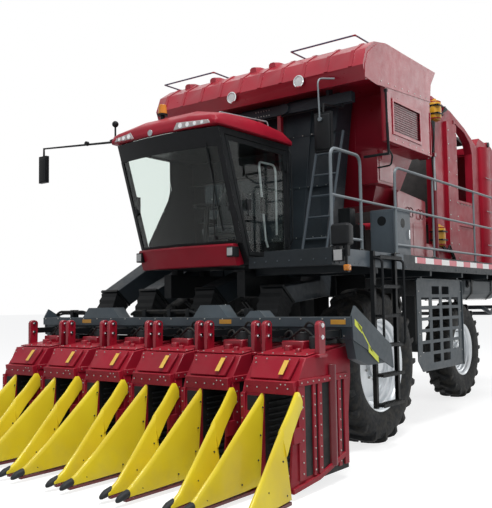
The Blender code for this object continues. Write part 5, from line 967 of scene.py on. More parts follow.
def cab_top():
    """Red crowned roof with a raised middle, clear front lamp groups, beacon, dome and grab rod."""
    bm = bmesh.new()
    rows = ((-3.372, 0.835, 3.786, 3.852), (-3.340, 0.862, 3.784, 3.905), (-3.180, 0.876, 3.784, 3.955),
            (-2.900, 0.878, 3.784, 3.975), (-2.450, 0.876, 3.784, 3.975), (-2.000, 0.860, 3.784, 3.945),
            (-1.800, 0.835, 3.786, 3.890), (-1.768, 0.800, 3.790, 3.840))
    sections = []
    for y, half, low, high in rows:
        crown = high + 0.072 if -3.3 < y < -1.9 else high + 0.03
        flank = [(half, low), (half, low + 0.05), (half - 0.035, high - 0.02), (half - 0.11, high),
                 (0.42, crown)]
        sections.append([(-across, y, z) for across, z in flank]
                        + [(across, y, z) for across, z in reversed(flank)])
    loft(bm, sections)
    item = piece("cab_roof_skin", bm, "machine", SATIN_RED, 0.010, 60.0)
    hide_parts("cab_roof")
    bm = bmesh.new()
    for side, inner in ((1, 0.22), (-1, 0.44)):
        corners = ((inner, 3.798), (0.775, 3.800), (0.745, 3.842), (inner + 0.05, 3.878))
        front = [Vector((side * x, -3.3790, z)) for x, z in corners]
        skin(bm, [[bm.verts.new(point) for point in front],
                  [bm.verts.new(point + Vector((0.0, 0.010, 0.0))) for point in front]])
    piece("roof_lamp_glass", bm, "machine", CLEAR, 0.004)
    bm = bmesh.new()
    bowls = ((0.33, 3.834, 0.030), (0.44, 3.831, 0.027), (0.55, 3.828, 0.024), (0.66, 3.824, 0.020),
             (-0.52, 3.834, 0.028), (-0.61, 3.829, 0.024), (-0.69, 3.824, 0.019))
    for x, z, radius in bowls:
        rod(bm, (x, -3.3835, z), (x, -3.3785, z), radius, 18)
    piece("roof_lamp_bowls", bm, "machine", CHROME)
    bm = bmesh.new()
    rod(bm, (-0.16, -3.382, 3.824), (-0.16, -3.370, 3.824), 0.038, 20)
    piece("roof_front_cap", bm, "machine", PALE_STEEL, 0.002)
    bm = bmesh.new()
    rod(bm, (*BEACON, 4.035), (*BEACON, 4.130), 0.026, 14)
    rod(bm, (*BEACON, 4.125), (*BEACON, 4.145), 0.066, 20)
    piece("beacon_base", bm, "machine", BLACK_PLASTIC)
    bm = bmesh.new()
    rod(bm, (*BEACON, 4.145), (*BEACON, 4.262), 0.060, 20, 0.050)
    piece("roof_beacon", bm, "machine", AMBER, 0.006)
    bm = bmesh.new()
    bmesh.ops.create_uvsphere(bm, u_segments=16, v_segments=10, radius=0.042,
                              matrix=Matrix.Translation((*DOME, 4.085)))
    rod(bm, (*DOME, 3.900), (*DOME, 4.060), 0.012, 10)
    piece("side_view_camera", bm, "machine", BLACK_PLASTIC)
    bm = bmesh.new()
    run = [(0.62, -3.02, 3.97), (0.62, -3.02, 4.02), (0.80, -2.30, 4.01), (0.80, -2.28, 3.96)]
    tube(bm, run, 0.008, 0.03)
    piece("roof_grab_rod", bm, "machine", PALE_STEEL)


def cab_sides():
    """Door with its grab tube, latch and hinge leaves, the rear grab rail, and trim round the panes."""
    softened("cab_door", 0.006, BLACK_STEEL)
    bm = bmesh.new()
    tube(bm, [(0.775, -2.30, 2.45), (0.745, -2.30, 2.55), (0.745, -2.42, 3.50), (0.745, -2.10, 3.50),
              (0.745, -2.06, 3.42), (0.745, -2.06, 2.62)], 0.014, 0.06)
    piece("door_grab_tube", bm, "cab_door", PALE_STEEL)
    bm = bmesh.new()
    block(bm, (0.755, -2.42, 2.86), (0.785, -2.22, 3.06))
    block(bm, (0.822, -2.80, 2.86), (0.846, -2.72, 2.99))
    run = [(0.825, -2.785, 2.94), (0.850, -2.785, 2.94), (0.850, -2.785, 2.80), (0.825, -2.785, 2.80)]
    tube(bm, run, 0.007, 0.01)
    piece("door_latch", bm, "cab_door", BLACK_PLASTIC, 0.004)
    bm = bmesh.new()
    for z in (2.52, 3.48):
        rod(bm, (0.842, -1.930, z - 0.06), (0.842, -1.930, z + 0.06), 0.012, 14)
        block(bm, (0.8285, -1.985, z - 0.045), (0.836, -1.934, z + 0.045))
    piece("door_hinge_leaves", bm, "cab_door", BLACK_STEEL, 0.002)
    bm = bmesh.new()
    run = [(0.835, -1.885, 2.50), (0.87, -1.885, 2.56), (0.87, -1.885, 3.66), (0.835, -1.885, 3.72)]
    tube(bm, run, 0.010, 0.04)
    piece("cab_grab_rail", bm, "machine", BLACK_STEEL)
    bm = bmesh.new()
    block(bm, (-0.62, -1.865, 3.705), (0.62, -1.852, 3.768))
    block(bm, (-0.84, -2.06, 2.46), (-0.821, -1.98, 3.70))
    piece("rear_pane_trim", bm, "machine", BLACK_PLASTIC, 0.003)
    bm = bmesh.new()
    block(bm, (-0.800, -1.905, 2.48), (-0.560, -1.885, 3.74))
    liner = ((-1.90, 2.48), (-1.90, 3.74), (-2.39, 3.74), (-2.39, 3.28), (-2.43, 3.16), (-2.80, 2.56),
             (-2.80, 2.48))
    prism(bm, liner, "side", -0.762, 0.014)
    piece("side_wall_liner", bm, "machine", BLACK_PLASTIC, 0.004)


def cab_inside():
    """Padded seat with armrest console, display, steering column and the headliner."""
    bm = bmesh.new()
    block(bm, (-0.245, -2.368, 2.652), (0.245, -1.96, 2.762))
    seat = piece("seat_cushion", bm, "machine", SEAT_CLOTH, 0.045, 50.0)
    bm = bmesh.new()
    sections = []
    for z, half, front, rear in ((2.72, 0.215, -2.085, -1.975), (2.90, 0.225, -2.078, -1.962),
                                 (3.10, 0.205, -2.060, -1.950), (3.22, 0.165, -2.050, -1.945),
                                 (3.26, 0.120, -2.040, -1.945), (3.38, 0.105, -2.035, -1.950)):
        sections.append([(-half, front + 0.02, z), (-half + 0.05, front, z), (half - 0.05, front, z),
                         (half, front + 0.02, z), (half, rear, z), (-half, rear, z)])
    loft(bm, sections)
    back = piece("seat_backrest", bm, "machine", SEAT_CLOTH, 0.018, 60.0)
    bm = bmesh.new()
    block(bm, (-0.14, -2.28, 2.282), (0.14, -2.05, 2.33))
    for index in range(4):
        grow = 0.012 * (index % 2)
        lift = index * 0.075
        block(bm, (-0.115 - grow, -2.26 - grow, 2.33 + lift), (0.115 + grow, -2.07 + grow, 2.40 + lift))
    block(bm, (0.27, -2.36, 2.84), (0.36, -1.98, 2.90))
    block(bm, (-0.36, -2.30, 2.84), (-0.27, -1.98, 2.90))
    block(bm, (0.29, -2.12, 2.70), (0.33, -2.04, 2.84))
    block(bm, (-0.33, -2.12, 2.70), (-0.29, -2.04, 2.84))
    base = piece("seat_suspension", bm, "machine", BLACK_PLASTIC, 0.006)
    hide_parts("operator_seat")
    softened("steering_column", 0.004, BLACK_PLASTIC)
    bm = bmesh.new()
    block(bm, (0.30, -2.52, 2.98), (0.50, -2.47, 3.16))
    tube(bm, [(0.32, -2.20, 2.90), (0.36, -2.40, 2.98), (0.40, -2.48, 3.02)], 0.012, 0.05)
    rod(bm, (0.315, -2.30, 2.90), (0.315, -2.31, 3.01), 0.014, 12)
    block(bm, (-0.70, -2.00, 3.40), (0.70, -1.915, 3.70))
    piece("console_and_display", bm, "machine", BLACK_PLASTIC, 0.006)
    bm = bmesh.new()
    block(bm, (0.735, -3.02, 2.84), (0.765, -2.96, 3.10))
    block(bm, (-0.74, -3.06, 2.90), (-0.70, -3.00, 3.14))
    piece("pillar_display", bm, "machine", BLACK_PLASTIC, 0.004)
    for node in ("windscreen", "cab_side_glass", "cab_rear_glass", "cab_door_glass"):
        dress(node, SCREEN_GLASS)


# Columns: X, Y, top, then half width and height of the back and of the face
MIRRORS = ((-2.30, -3.28, 3.82, 0.075, 0.335, 0.066, 0.325), (1.40, -1.95, 4.07, 0.112, 0.450, 0.105, 0.440))


def mirrors():
    """Mirrors with rounded backs on bent arms, with clamps and faces."""
    softened("mirror_right_side", 0.006, BLACK_PLASTIC)
    softened("mirror_left_side", 0.006, BLACK_PLASTIC)
    backs = bmesh.new()
    faces = bmesh.new()
    for x, y, top, wide, high, face_wide, face_high in MIRRORS:
        sections = []
        for inset, back in ((0.0, -0.026), (0.012, -0.040), (0.045, -0.046)):
            left, right = x - wide + inset, x + wide - inset
            foot, head = top - high + inset, top - inset
            sections.append([(left, y + back, foot), (right, y + back, foot), (right, y + back, head),
                             (left, y + back, head)])
        loft(backs, sections)
        block(faces, (x - face_wide, y + 0.0255, top - face_high), (x + face_wide, y + 0.028, top - 0.012))
    piece("mirror_backs", backs, "machine", BLACK_PLASTIC, 0.010, 60.0)
    piece("mirror_faces", faces, "machine", MIRROR_FACE)
    bm = bmesh.new()
    rod(bm, (1.40, -1.9995, 4.00), (1.40, -1.93, 4.00), 0.030, 16)
    rod(bm, (-1.45, -3.225, 3.905), (-1.45, -3.265, 3.905), 0.030, 14)
    rod(bm, (-1.00, -3.205, 3.865), (-1.00, -3.225, 3.895), 0.026, 14)
    piece("mirror_clamps", bm, "machine", BLACK_STEEL, 0.003)
    bm = bmesh.new()
    run = [(1.54, -1.90, 4.50), (1.37, -1.97, 4.52), (1.37, -2.016, 4.46), (1.385, -2.016, 4.02)]
    tube(bm, run, 0.011, 0.04)
    rod(bm, (1.385, -2.024, 4.00), (1.385, -1.99, 4.00), 0.026, 14)
    piece("mirror_bent_arm", bm, "machine", TUBE_GREY)


def build_cab():
    cab_shell()
    cab_top()
    cab_sides()
    cab_inside()
    mirrors()


# Wheels


LUGS = 20
LUG_HEIGHT = 0.045
FRONT_AXLE_Y = -1.206
FRONT_RADIUS = 0.97
# Columns: share of the half width, drop of the lug's top, depth of its foot inside the carcass
LUG_SECTIONS = ((-0.04, 0.0, 0.018), (0.25, 0.001, 0.018), (0.50, 0.004, 0.02), (0.72, 0.010, 0.025),
                (0.90, 0.024, 0.035), (0.985, 0.050, 0.05), (1.0, 0.105, 0.06))
# Columns: label, body, side, X, Y, tyre radius, width, rim radius
WHEELS = (("front_left", "wheel_front_left", 1, 1.505, FRONT_AXLE_Y, FRONT_RADIUS, 0.53, 0.56),
          ("front_right", "wheel_front_right", -1, -1.505, FRONT_AXLE_Y, FRONT_RADIUS, 0.53, 0.56),
          ("rear_left", "wheel_rear_left", 1, 0.80, 3.514, 0.873, 0.45, 0.45),
          ("rear_right", "wheel_rear_right", -1, -0.80, 3.514, 0.873, 0.45, 0.45))


def wheel_tyre(label, body, side, x, y, radius, width, rim):
    """Round-shouldered carcass with slanting lugs that thin towards the shoulder."""
    half, carcass = width / 2, radius - LUG_HEIGHT
    wall = (rim + carcass) / 2
    outline = [(rim + 0.001, half * 0.79), (rim + 0.022, half * 0.845), (rim + 0.040, half * 0.87),
               (rim + 0.07, half * 0.93), (wall, half * 0.995), (wall + 0.08, half * 0.985),
               (carcass - 0.07, half * 0.93), (carcass - 0.028, half * 0.83), (carcass - 0.006, half * 0.55)]
    profile = outline + [(carcass, 0.0)] + [(r, -a) for r, a in reversed(outline)]
    bm = bmesh.new()
    lathe(bm, profile, (x, y, radius), 80)
    tyre = piece("tyre_" + label + "_carcass", bm, body, RUBBER, 0.0, 50.0)
    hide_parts("tyre_" + label)
    step = FULL_TURN / LUGS
    for end in (1, -1):
        bm = bmesh.new()
        sections = []
        for share, drop, foot in LUG_SECTIONS:
            lean = step / 2 * (1 - share) + (0.0 if end > 0 else step / 2)
            across = end * half * min(share * 0.985, 0.985)
            top = radius - drop
            low = top - LUG_HEIGHT - foot
            wide, slim = 0.040 / radius, 0.029 / radius
            ring = []
            for reach, turn in ((low, -wide), (top - 0.004, -slim), (top, -slim * 0.8), (top, slim * 0.8),
                                (top - 0.004, slim), (low, wide)):
                angle = lean + turn
                ahead, down = reach * math.sin(angle), reach * math.cos(angle)
                ring.append(Vector((x + across, y - ahead, radius - down)))
            sections.append(ring)
        loft(bm, sections)
        repeats("tyre_%s_lugs_%s" % (label, "outer" if end * side > 0 else "inner"), body, bm, LUGS, RUBBER,
                turn=step, centre=(x, y, radius))


def ring_places(centre, reach, count, way, start=0.0):
    """Bolt places evenly round an X axis, all facing the same way along it."""
    places = []
    for index in range(count):
        angle = FULL_TURN * (index + start) / count
        ahead, up = reach * math.sin(angle), reach * math.cos(angle)
        places.append(((centre[0], centre[1] + ahead, centre[2] + up), (way, 0.0, 0.0)))
    return places


def wheel_rim(label, body, side, x, y, radius, width, rim):
    """Deep stepped rim, disc, planetary hub, wheel nuts and valve."""
    flange = width / 2 * 0.80
    profile = [(rim - 0.001, -flange), (rim - 0.001, flange - 0.02), (rim + 0.022, flange - 0.008),
               (rim + 0.026, flange + 0.004), (rim + 0.012, flange + 0.012), (rim - 0.012, flange),
               (rim - 0.030, flange - 0.03), (rim - 0.034, flange * 0.72), (rim - 0.062, flange * 0.66),
               (rim - 0.068, flange * 0.46), (rim - 0.105, flange * 0.40), (rim - 0.112, flange * 0.26),
               (rim - 0.155, flange * 0.24), (rim - 0.185, flange * 0.32), (0.235, flange * 0.36),
               (0.20, flange * 0.42), (0.175, flange * 0.42), (0.100, flange * 0.42), (0.100, flange * 0.16),
               (rim - 0.10, flange * 0.08), (rim - 0.05, -flange * 0.5), (rim - 0.026, -flange)]
    bm = bmesh.new()
    lathe(bm, profile, (x, y, radius), 80, side)
    item = piece("rim_" + label + "_dish", bm, body, WHEEL_PAINT, 0.0, 35.0)
    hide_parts("rim_" + label)
    face = x + side * flange * 0.42
    bm = bmesh.new()
    hub = 0.155 if rim > 0.5 else 0.135
    cover = [(0.0, 0.0), (hub, 0.0), (hub, 0.045), (hub - 0.012, 0.058), (hub * 0.62, 0.066),
             (hub * 0.58, 0.10), (hub * 0.50, 0.108), (0.0, 0.108)]
    lathe(bm, cover, (face, y, radius), 40, side, closed=False)
    piece("hub_cover_" + label, bm, body, WHEEL_PAINT, 0.0, 30.0)
    bolts("wheel_nuts_" + label, body, ring_places((face, y, radius), 0.188, 10, side), 0.016, 0.022)
    places = ring_places((face + side * 0.060, y, radius), hub * 0.80, 8, side, 0.5)
    bolts("hub_bolts_" + label, body, places, 0.009, 0.008)
    bm = bmesh.new()
    root = (x + side * flange * 0.36, y, radius + rim - 0.135)
    tip = (x + side * flange * 0.62, y, radius + rim - 0.125)
    rod(bm, root, tip, 0.007, 10)
    piece("valve_" + label, bm, body, BLACK_PLASTIC)


def build_wheels():
    for row in WHEELS:
        wheel_tyre(*row)
        wheel_rim(*row)


# Deck, railings, ladders and guard


# Y of the posts: front corner, both sides of the gate, two between, rear end
RAILING_POSTS = (-2.70, -2.02, -1.10, 0.10, 1.72, 3.34)


def railings():
    """Mid-grey round tubes with bent corners and bolted feet, and the lamps on the deck's front corner."""
    bm = bmesh.new()
    x, foot, top, waist = 1.92, 2.3603, 3.47, 2.945
    corner, gate_front, gate_rear, *between, rear = RAILING_POSTS
    for start, end in ((corner, gate_front), (gate_rear, rear)):
        tube(bm, [(x, start, foot), (x, start, top), (x, end, top), (x, end, foot)], 0.019, 0.12)
        for z in (waist, 2.48):
            tube(bm, [(x, start, z), (x, end, z)], 0.0165)
    tube(bm, [(x, gate_front, waist), (x, gate_rear, waist)], 0.0155)
    for y in between:
        tube(bm, [(x, y, foot), (x, y, top)], 0.016)
    item = piece("platform_railing_tubes", bm, "machine", TUBE_GREY)
    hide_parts("platform_railing")
    bm = bmesh.new()
    for y in RAILING_POSTS:
        block(bm, (x - 0.026, y - 0.045, 2.3605), (x + 0.026, y + 0.045, 2.372))
    piece("railing_feet", bm, "machine", BLACK_STEEL, 0.002)
    places = [((x, y + end, 2.372), (0.0, 0.0, 1.0)) for y in RAILING_POSTS for end in (-0.034, 0.034)]
    bolts("railing_foot_bolts", "machine", places, 0.008, 0.006)
    bm = bmesh.new()
    sections = []
    for inset, z in ((0.02, 2.375), (0.0, 2.395), (0.0, 2.585), (0.012, 2.605), (0.035, 2.618)):
        sections.append(rounded_box(1.932 + inset, 2.150 - inset, -2.760 + inset, -2.632 - inset, z, 0.02))
    loft(bm, sections)
    block(bm, (1.985, -2.745, 2.33), (2.030, -2.660, 2.38))
    block(bm, (2.085, -2.735, 2.26), (2.125, -2.670, 2.38))
    piece("corner_lamp_box", bm, "machine", BLACK_PLASTIC, 0.006)
    bm = bmesh.new()
    block(bm, (1.967, -2.772, 2.205), (2.086, -2.655, 2.335))
    piece("corner_lamp_shell", bm, "machine", BLACK_PLASTIC, 0.01)
    bm = bmesh.new()
    block(bm, (1.975, -2.776, 2.213), (2.078, -2.771, 2.327))
    piece("corner_lamp_face", bm, "machine", CLEAR, 0.004)
    bm = bmesh.new()
    block(bm, (2.085, -2.765, 2.10), (2.150, -2.700, 2.165))
    piece("corner_amber_lamp", bm, "machine", AMBER, 0.010)
    bm = bmesh.new()
    block(bm, (2.095, -2.740, 2.16), (2.120, -2.715, 2.27))
    piece("amber_lamp_stalk", bm, "machine", BLACK_STEEL, 0.003)


def rounded_box(x_low, x_high, y_low, y_high, z, radius):
    """A level rounded rectangle as one section."""
    corners = ((x_high - radius, y_high - radius, 0), (x_low + radius, y_high - radius, 90),
               (x_low + radius, y_low + radius, 180), (x_high - radius, y_low + radius, 270))
    places = []
    for x, y, start in corners:
        for step in range(4):
            angle = math.radians(start + step * 30)
            places.append((x + radius * math.cos(angle), y + radius * math.sin(angle), z))
    return places


def deck():
    """Deck with its ladder bay, block tape, tread plates and edge bolts, and the cabinet and its fittings."""
    softened("side_platform", 0.004, DECK)
    bm = bmesh.new()
    block(bm, (DECK_SIDE, -2.42, 2.172), (1.9545, -0.98, 2.358))
    piece("ladder_bay_plate", bm, "machine", LADDER_GREY, 0.001)
    bm = bmesh.new()
    block(bm, (DECK_SIDE, -0.62, 2.262), (1.9520, 3.36, 2.340))
    piece("edge_block_tape", bm, "machine", TAPE_BLOCKS)
    bm = bmesh.new()
    block(bm, (0.86, -2.764, DECK_SKIN), (1.88, -1.60, 2.3045))
    block(bm, (1.54, -1.58, DECK_SKIN), (1.88, -1.08, 2.3045))
    piece("deck_tread_plate", bm, "machine", BLACK_STEEL)
    places = [((1.9502, -2.70 + 0.105 * step, 2.20), (1.0, 0.0, 0.0)) for step in range(7)]
    places += [((1.9502, -0.90 + 0.43 * step, 2.20), (1.0, 0.0, 0.0)) for step in range(10)]
    places += [((0.92 + 0.16 * step, -2.7703, 2.24), (0.0, -1.0, 0.0)) for step in range(7)]
    bolts("deck_edge_bolts", "machine", places, 0.010, 0.007, material=GREY)
    softened("service_cabinet", 0.012, LADDER_GREY)
    bm = bmesh.new()
    block(bm, (1.8702, -1.02, 2.34), (1.8745, -0.58, 2.92))
    block(bm, (1.56, -1.0545, 2.34), (1.84, -1.0502, 2.92))
    piece("cabinet_doors", bm, "machine", LADDER_GREY, 0.002)
    bm = bmesh.new()
    rod(bm, (1.70, -1.0548, 2.80), (1.70, -1.0562, 2.80), 0.062, 32)
    rod(bm, (1.8747, -0.80, 2.78), (1.8765, -0.80, 2.78), 0.062, 32)
    piece("cabinet_blank_round", bm, "machine", BLACK_STEEL)
    bm = bmesh.new()
    block(bm, (1.20, -1.30, 2.3055), (1.38, -1.16, 2.98))
    block(bm, (1.545, -0.50, 2.3008), (1.66, -0.20, 3.02))
    run = [(1.10, -1.36, 2.72), (1.26, -1.40, 2.66), (1.30, -1.42, 2.50), (1.30, -1.42, 2.31)]
    tube(bm, run, 0.028, 0.08)
    piece("deck_small_housings", bm, "machine", BLACK_STEEL, 0.015)
    bm = bmesh.new()
    run = [(1.8745, -0.64, 2.58), (1.895, -0.64, 2.58), (1.895, -0.64, 2.70), (1.8745, -0.64, 2.70)]
    tube(bm, run, 0.006, 0.01)
    piece("cabinet_handle", bm, "machine", CHROME)


def side_ladder():
    """Access ladder with channel stiles, grating steps and loop handrails, and the leaning upper ladder."""
    inner, front, rear = DECK_SIDE, -1.90, -1.28
    bm = bmesh.new()
    for y, way in ((front, 1), (rear, -1)):
        web = y + way * 0.006
        block(bm, (inner + 0.001, min(y, web), 0.53), (inner + 0.05, max(y, web), 2.36))
        for x in (inner + 0.001, inner + 0.044):
            block(bm, (x, min(y, y + way * 0.05), 0.53), (x + 0.006, max(y, y + way * 0.05), 2.36))
    stiles = piece("ladder_stiles", bm, "machine", BLACK_STEEL, 0.001)
    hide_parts("access_ladder")
    bm = bmesh.new()
    for index in range(6):
        z = 0.542 + index * 0.345
        block(bm, (inner + 0.006, front + 0.007, z), (inner + 0.012, rear - 0.007, z + 0.035))
        block(bm, (inner + 0.124, front + 0.02, z), (inner + 0.130, rear - 0.02, z + 0.035))
        for bar in range(1, 4):
            low = inner + 0.006 + bar * 0.0295
            block(bm, (low, front + 0.02, z + 0.004), (low + 0.005, rear - 0.02, z + 0.035))
        for rung in range(11):
            y = front + 0.03 + rung * 0.0555
            block(bm, (inner + 0.006, y, z + 0.012), (inner + 0.130, y + 0.006, z + 0.033))
        for tooth in range(14):
            y = front + 0.035 + tooth * 0.0415
            block(bm, (inner + 0.116, y, z + 0.032), (inner + 0.130, y + 0.018, z + 0.042))
    piece("ladder_steps", bm, "machine", BLACK_STEEL)
    bm = bmesh.new()
    for y in (front + 0.025, rear - 0.025):
        run = [(inner + 0.03, y, 1.22), (inner + 0.148, y, 1.25), (inner + 0.148, y, 2.26),
               (inner + 0.03, y, 2.28)]
        tube(bm, run, 0.016, 0.07)
    piece("ladder_handrails", bm, "machine", BLACK_STEEL)
    bm = bmesh.new()
    upper = 3.95
    for x in (0.90, 1.26):
        tube(bm, [(x, -1.72, DECK_SKIN), (x, -1.72, 2.40), (x + 0.16, -1.50, upper)], 0.018, 0.05)
    for index in range(1, 6):
        share = index / 6
        z, y, x = 2.30 + share * (upper - 2.30), -1.72 + share * 0.22, 0.90 + share * 0.16
        tube(bm, [(x, y, z), (x + 0.36, y, z)], 0.015)
    item = piece("upper_ladder_tubes", bm, "machine", LADDER_GREY)
    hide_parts("upper_ladder")


def guard_and_tank():
    """Punched guard with stiff edges, and the round-edged tank with straps and a cap."""
    softened("guard_panel", 0.002, GREY)
    bm = bmesh.new()
    block(bm, (1.690, -0.04, 2.060), (1.716, 1.66, 2.082))
    block(bm, (1.690, 1.640, 0.77), (1.716, 1.662, 2.08))
    piece("guard_edges", bm, "machine", GREY, 0.002)
    places = [((1.7002, y, z), (1.0, 0.0, 0.0)) for y in (0.02, 1.60) for z in (1.0, 1.3, 1.6, 1.9)]
    bolts("guard_bolts", "machine", places, 0.010, 0.007)
    softened("fuel_tank", 0.035, TANK_PLASTIC)
    bm = bmesh.new()
    for y in (2.02, 2.96):
        outline = [(0.93, 2.095), (0.93, 1.765), (1.625, 1.765), (1.735, 1.875), (1.735, 2.095),
                   (1.729, 2.095), (1.729, 1.879), (1.621, 1.771), (0.936, 1.771), (0.936, 2.095)]
        prism(bm, outline, "front", y, 0.06)
    piece("tank_straps", bm, "machine", BLACK_STEEL)
    bm = bmesh.new()
    rod(bm, (1.715, 1.86, 2.02), (1.762, 1.86, 2.02), 0.045, 20)
    rod(bm, (1.715, 1.86, 2.02), (1.740, 1.86, 2.02), 0.060, 24)
    piece("tank_cap", bm, "machine", BLACK_PLASTIC, 0.004)


def build_deck():
    railings()
    deck()
    side_ladder()
    guard_and_tank()


# Ducts, lamp beam, accumulator and builder


# Place and strip width of the dark curtain of painted shade before the engine bay
SHADE_CURTAIN_Y = -0.46
SHADE_CURTAIN_STRIP = 0.10
DUCT_MOUTHS = (-1.75, -1.0, 0.0, 1.02)
BOOT_FOLDS = 14
BOOT_FOLD = 0.012
WORK_LAMPS = ((-0.06, -1.895, 4.560), (1.02, -1.895, 4.570))
CANISTER_AXIS = (1.53, 1.24)
CANISTER_FEET = (4.60, 2.62)
# Columns: height, half width and front of each collar round the duct bank
DUCT_COLLARS = ((2.62, 1.038, -1.366), (3.30, 1.095, -1.314), (4.02, 1.155, -1.263))
# Columns: radius, bend, then the run on the machine's left
BELLY_HOSES = (
    (0.018, 0.10, ((0.50, -2.40, 1.80), (0.46, -2.10, 1.60), (0.56, -1.80, 1.52), (0.60, -1.62, 1.56))),
    (0.015, 0.10, ((0.44, -2.40, 1.80), (0.40, -2.05, 1.56), (0.50, -1.80, 1.46), (0.58, -1.60, 1.48))),
    (0.016, 0.15, ((0.52, -1.10, 1.30), (0.50, -0.6, 1.50), (0.53, 0.2, 1.80), (0.53, 1.2, 1.83))),
)


def ducts_and_beam():
    """Duct bank with its collars, mouths and rubber boots, the lamp beam, and the lamps on the hood lip."""
    softened("duct_bank", 0.014, DUCT_GREY)
    bm = bmesh.new()
    places = []
    for z, half, front in DUCT_COLLARS:
        block(bm, (-half - 0.008, front - 0.006, z), (half + 0.008, front + 0.40, z + 0.028))
        reach = half - 0.05
        for step in range(16):
            across = -reach + 2 * reach * step / 15
            places.append(((across, front - 0.006, z + 0.014), (0.0, -1.0, 0.0)))
    piece("duct_collars", bm, "machine", DUCT_GREY, 0.003)
    bolts("duct_collar_bolts", "machine", places, 0.008, 0.006)
    bm = bmesh.new()
    for mouth_x in DUCT_MOUTHS:
        low, high = mouth_x - 0.165, mouth_x + 0.165
        slab(bm, ((low, -2.598, 1.960), (high, -2.598, 1.960), (high, -2.352, 1.755),
                  (low, -2.352, 1.755)), 0.035)
    piece("duct_mouth_flanges", bm, "machine", BLACK_STEEL, 0.004)
    bm = bmesh.new()
    for mouth_x in DUCT_MOUTHS:
        sections = []
        for index in range(BOOT_FOLDS + 1):
            share = index / BOOT_FOLDS
            inset = BOOT_FOLD * (index % 2)
            front = Vector((0.0, -2.590, 1.935)).lerp(Vector((0.0, -2.86, 1.28)), share)
            rear = Vector((0.0, -2.372, 1.752)).lerp(Vector((0.0, -2.66, 1.20)), share)
            half = 0.158 - inset
            low, high = mouth_x - half, mouth_x + half
            sections.append([front + Vector((low, inset, 0.0)), front + Vector((high, inset, 0.0)),
                             rear + Vector((high, -inset, 0.0)), rear + Vector((low, -inset, 0.0))])
        loft(bm, sections)
    boots = piece("duct_boots", bm, None, BOOT_RUBBER, 0.0, 20.0)
    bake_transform(boots)
    bm = bmesh.new()
    for mouth_x in DUCT_MOUTHS:
        block(bm, (mouth_x - 0.172, -2.885, 1.195), (mouth_x + 0.172, -2.640, 1.245))
    piece("duct_boot_collars", bm, "header", BLACK_STEEL, 0.004)
    softened("roof_beam", 0.006, DUCT_GREY)
    bm = bmesh.new()
    for place in WORK_LAMPS:
        rim = [(0.0, 0.0), (0.074, 0.0), (0.078, -0.012), (0.066, -0.018), (0.066, -0.006), (0.0, -0.006)]
        lathe_y(bm, rim, place, 28)
    piece("work_lamp_rims", bm, "machine", CHROME)
    bm = bmesh.new()
    for place in WORK_LAMPS:
        lathe_y(bm, [(0.0, -0.014), (0.040, -0.013), (0.064, -0.008)], place, 28)
    piece("work_lamp_lenses", bm, "machine", CLEAR)
    bm = bmesh.new()
    for x, y, z in WORK_LAMPS:
        block(bm, (x - 0.035, y + 0.001, z - 0.030), (x + 0.035, y + 0.030, z + 0.030))
        block(bm, (x - 0.012, y + 0.015, z - 0.012), (x + 0.012, y + 0.090, z + 0.012))
    piece("work_lamp_stands", bm, "machine", BLACK_STEEL, 0.003)
    bm = bmesh.new()
    for x in (0.10, 0.42):
        block(bm, (x - 0.03, -1.48, 4.04), (x + 0.03, -1.42, 4.31))
    block(bm, (-0.30, -1.48, 4.04), (0.45, -1.42, 4.09))
    piece("beam_u_bracket", bm, "machine", RED, 0.004)
    places = [((0.05 + 0.045 * step, -1.5004, z), (0.0, -1.0, 0.0))
              for step in range(6) for z in (4.34, 4.41)]
    bolts("beam_bolts", "machine", places, 0.009, 0.007)
    bm = bmesh.new()
    run = [(-1.50, -1.47, 4.33), (-0.2, -1.46, 4.285), (1.1, -1.47, 4.30), (1.36, -1.48, 4.33)]
    tube(bm, run, 0.010, 0.1)
    piece("lamp_cable", bm, "machine", BLACK_PLASTIC)


def lathe_y(bm, profile, centre, steps):
    """Turn a profile of (radius, place along Y) about a Y axis."""
    rings = []
    for step in range(steps):
        angle = FULL_TURN * step / steps
        across, up = math.cos(angle), math.sin(angle)
        rings.append([bm.verts.new((centre[0] + r * across, centre[1] + along, centre[2] + r * up))
                      for r, along in profile])
    for index, ring in enumerate(rings):
        after = rings[(index + 1) % steps]
        for point in range(len(profile) - 1):
            bm.faces.new((ring[point], ring[point + 1], after[point + 1], after[point]))


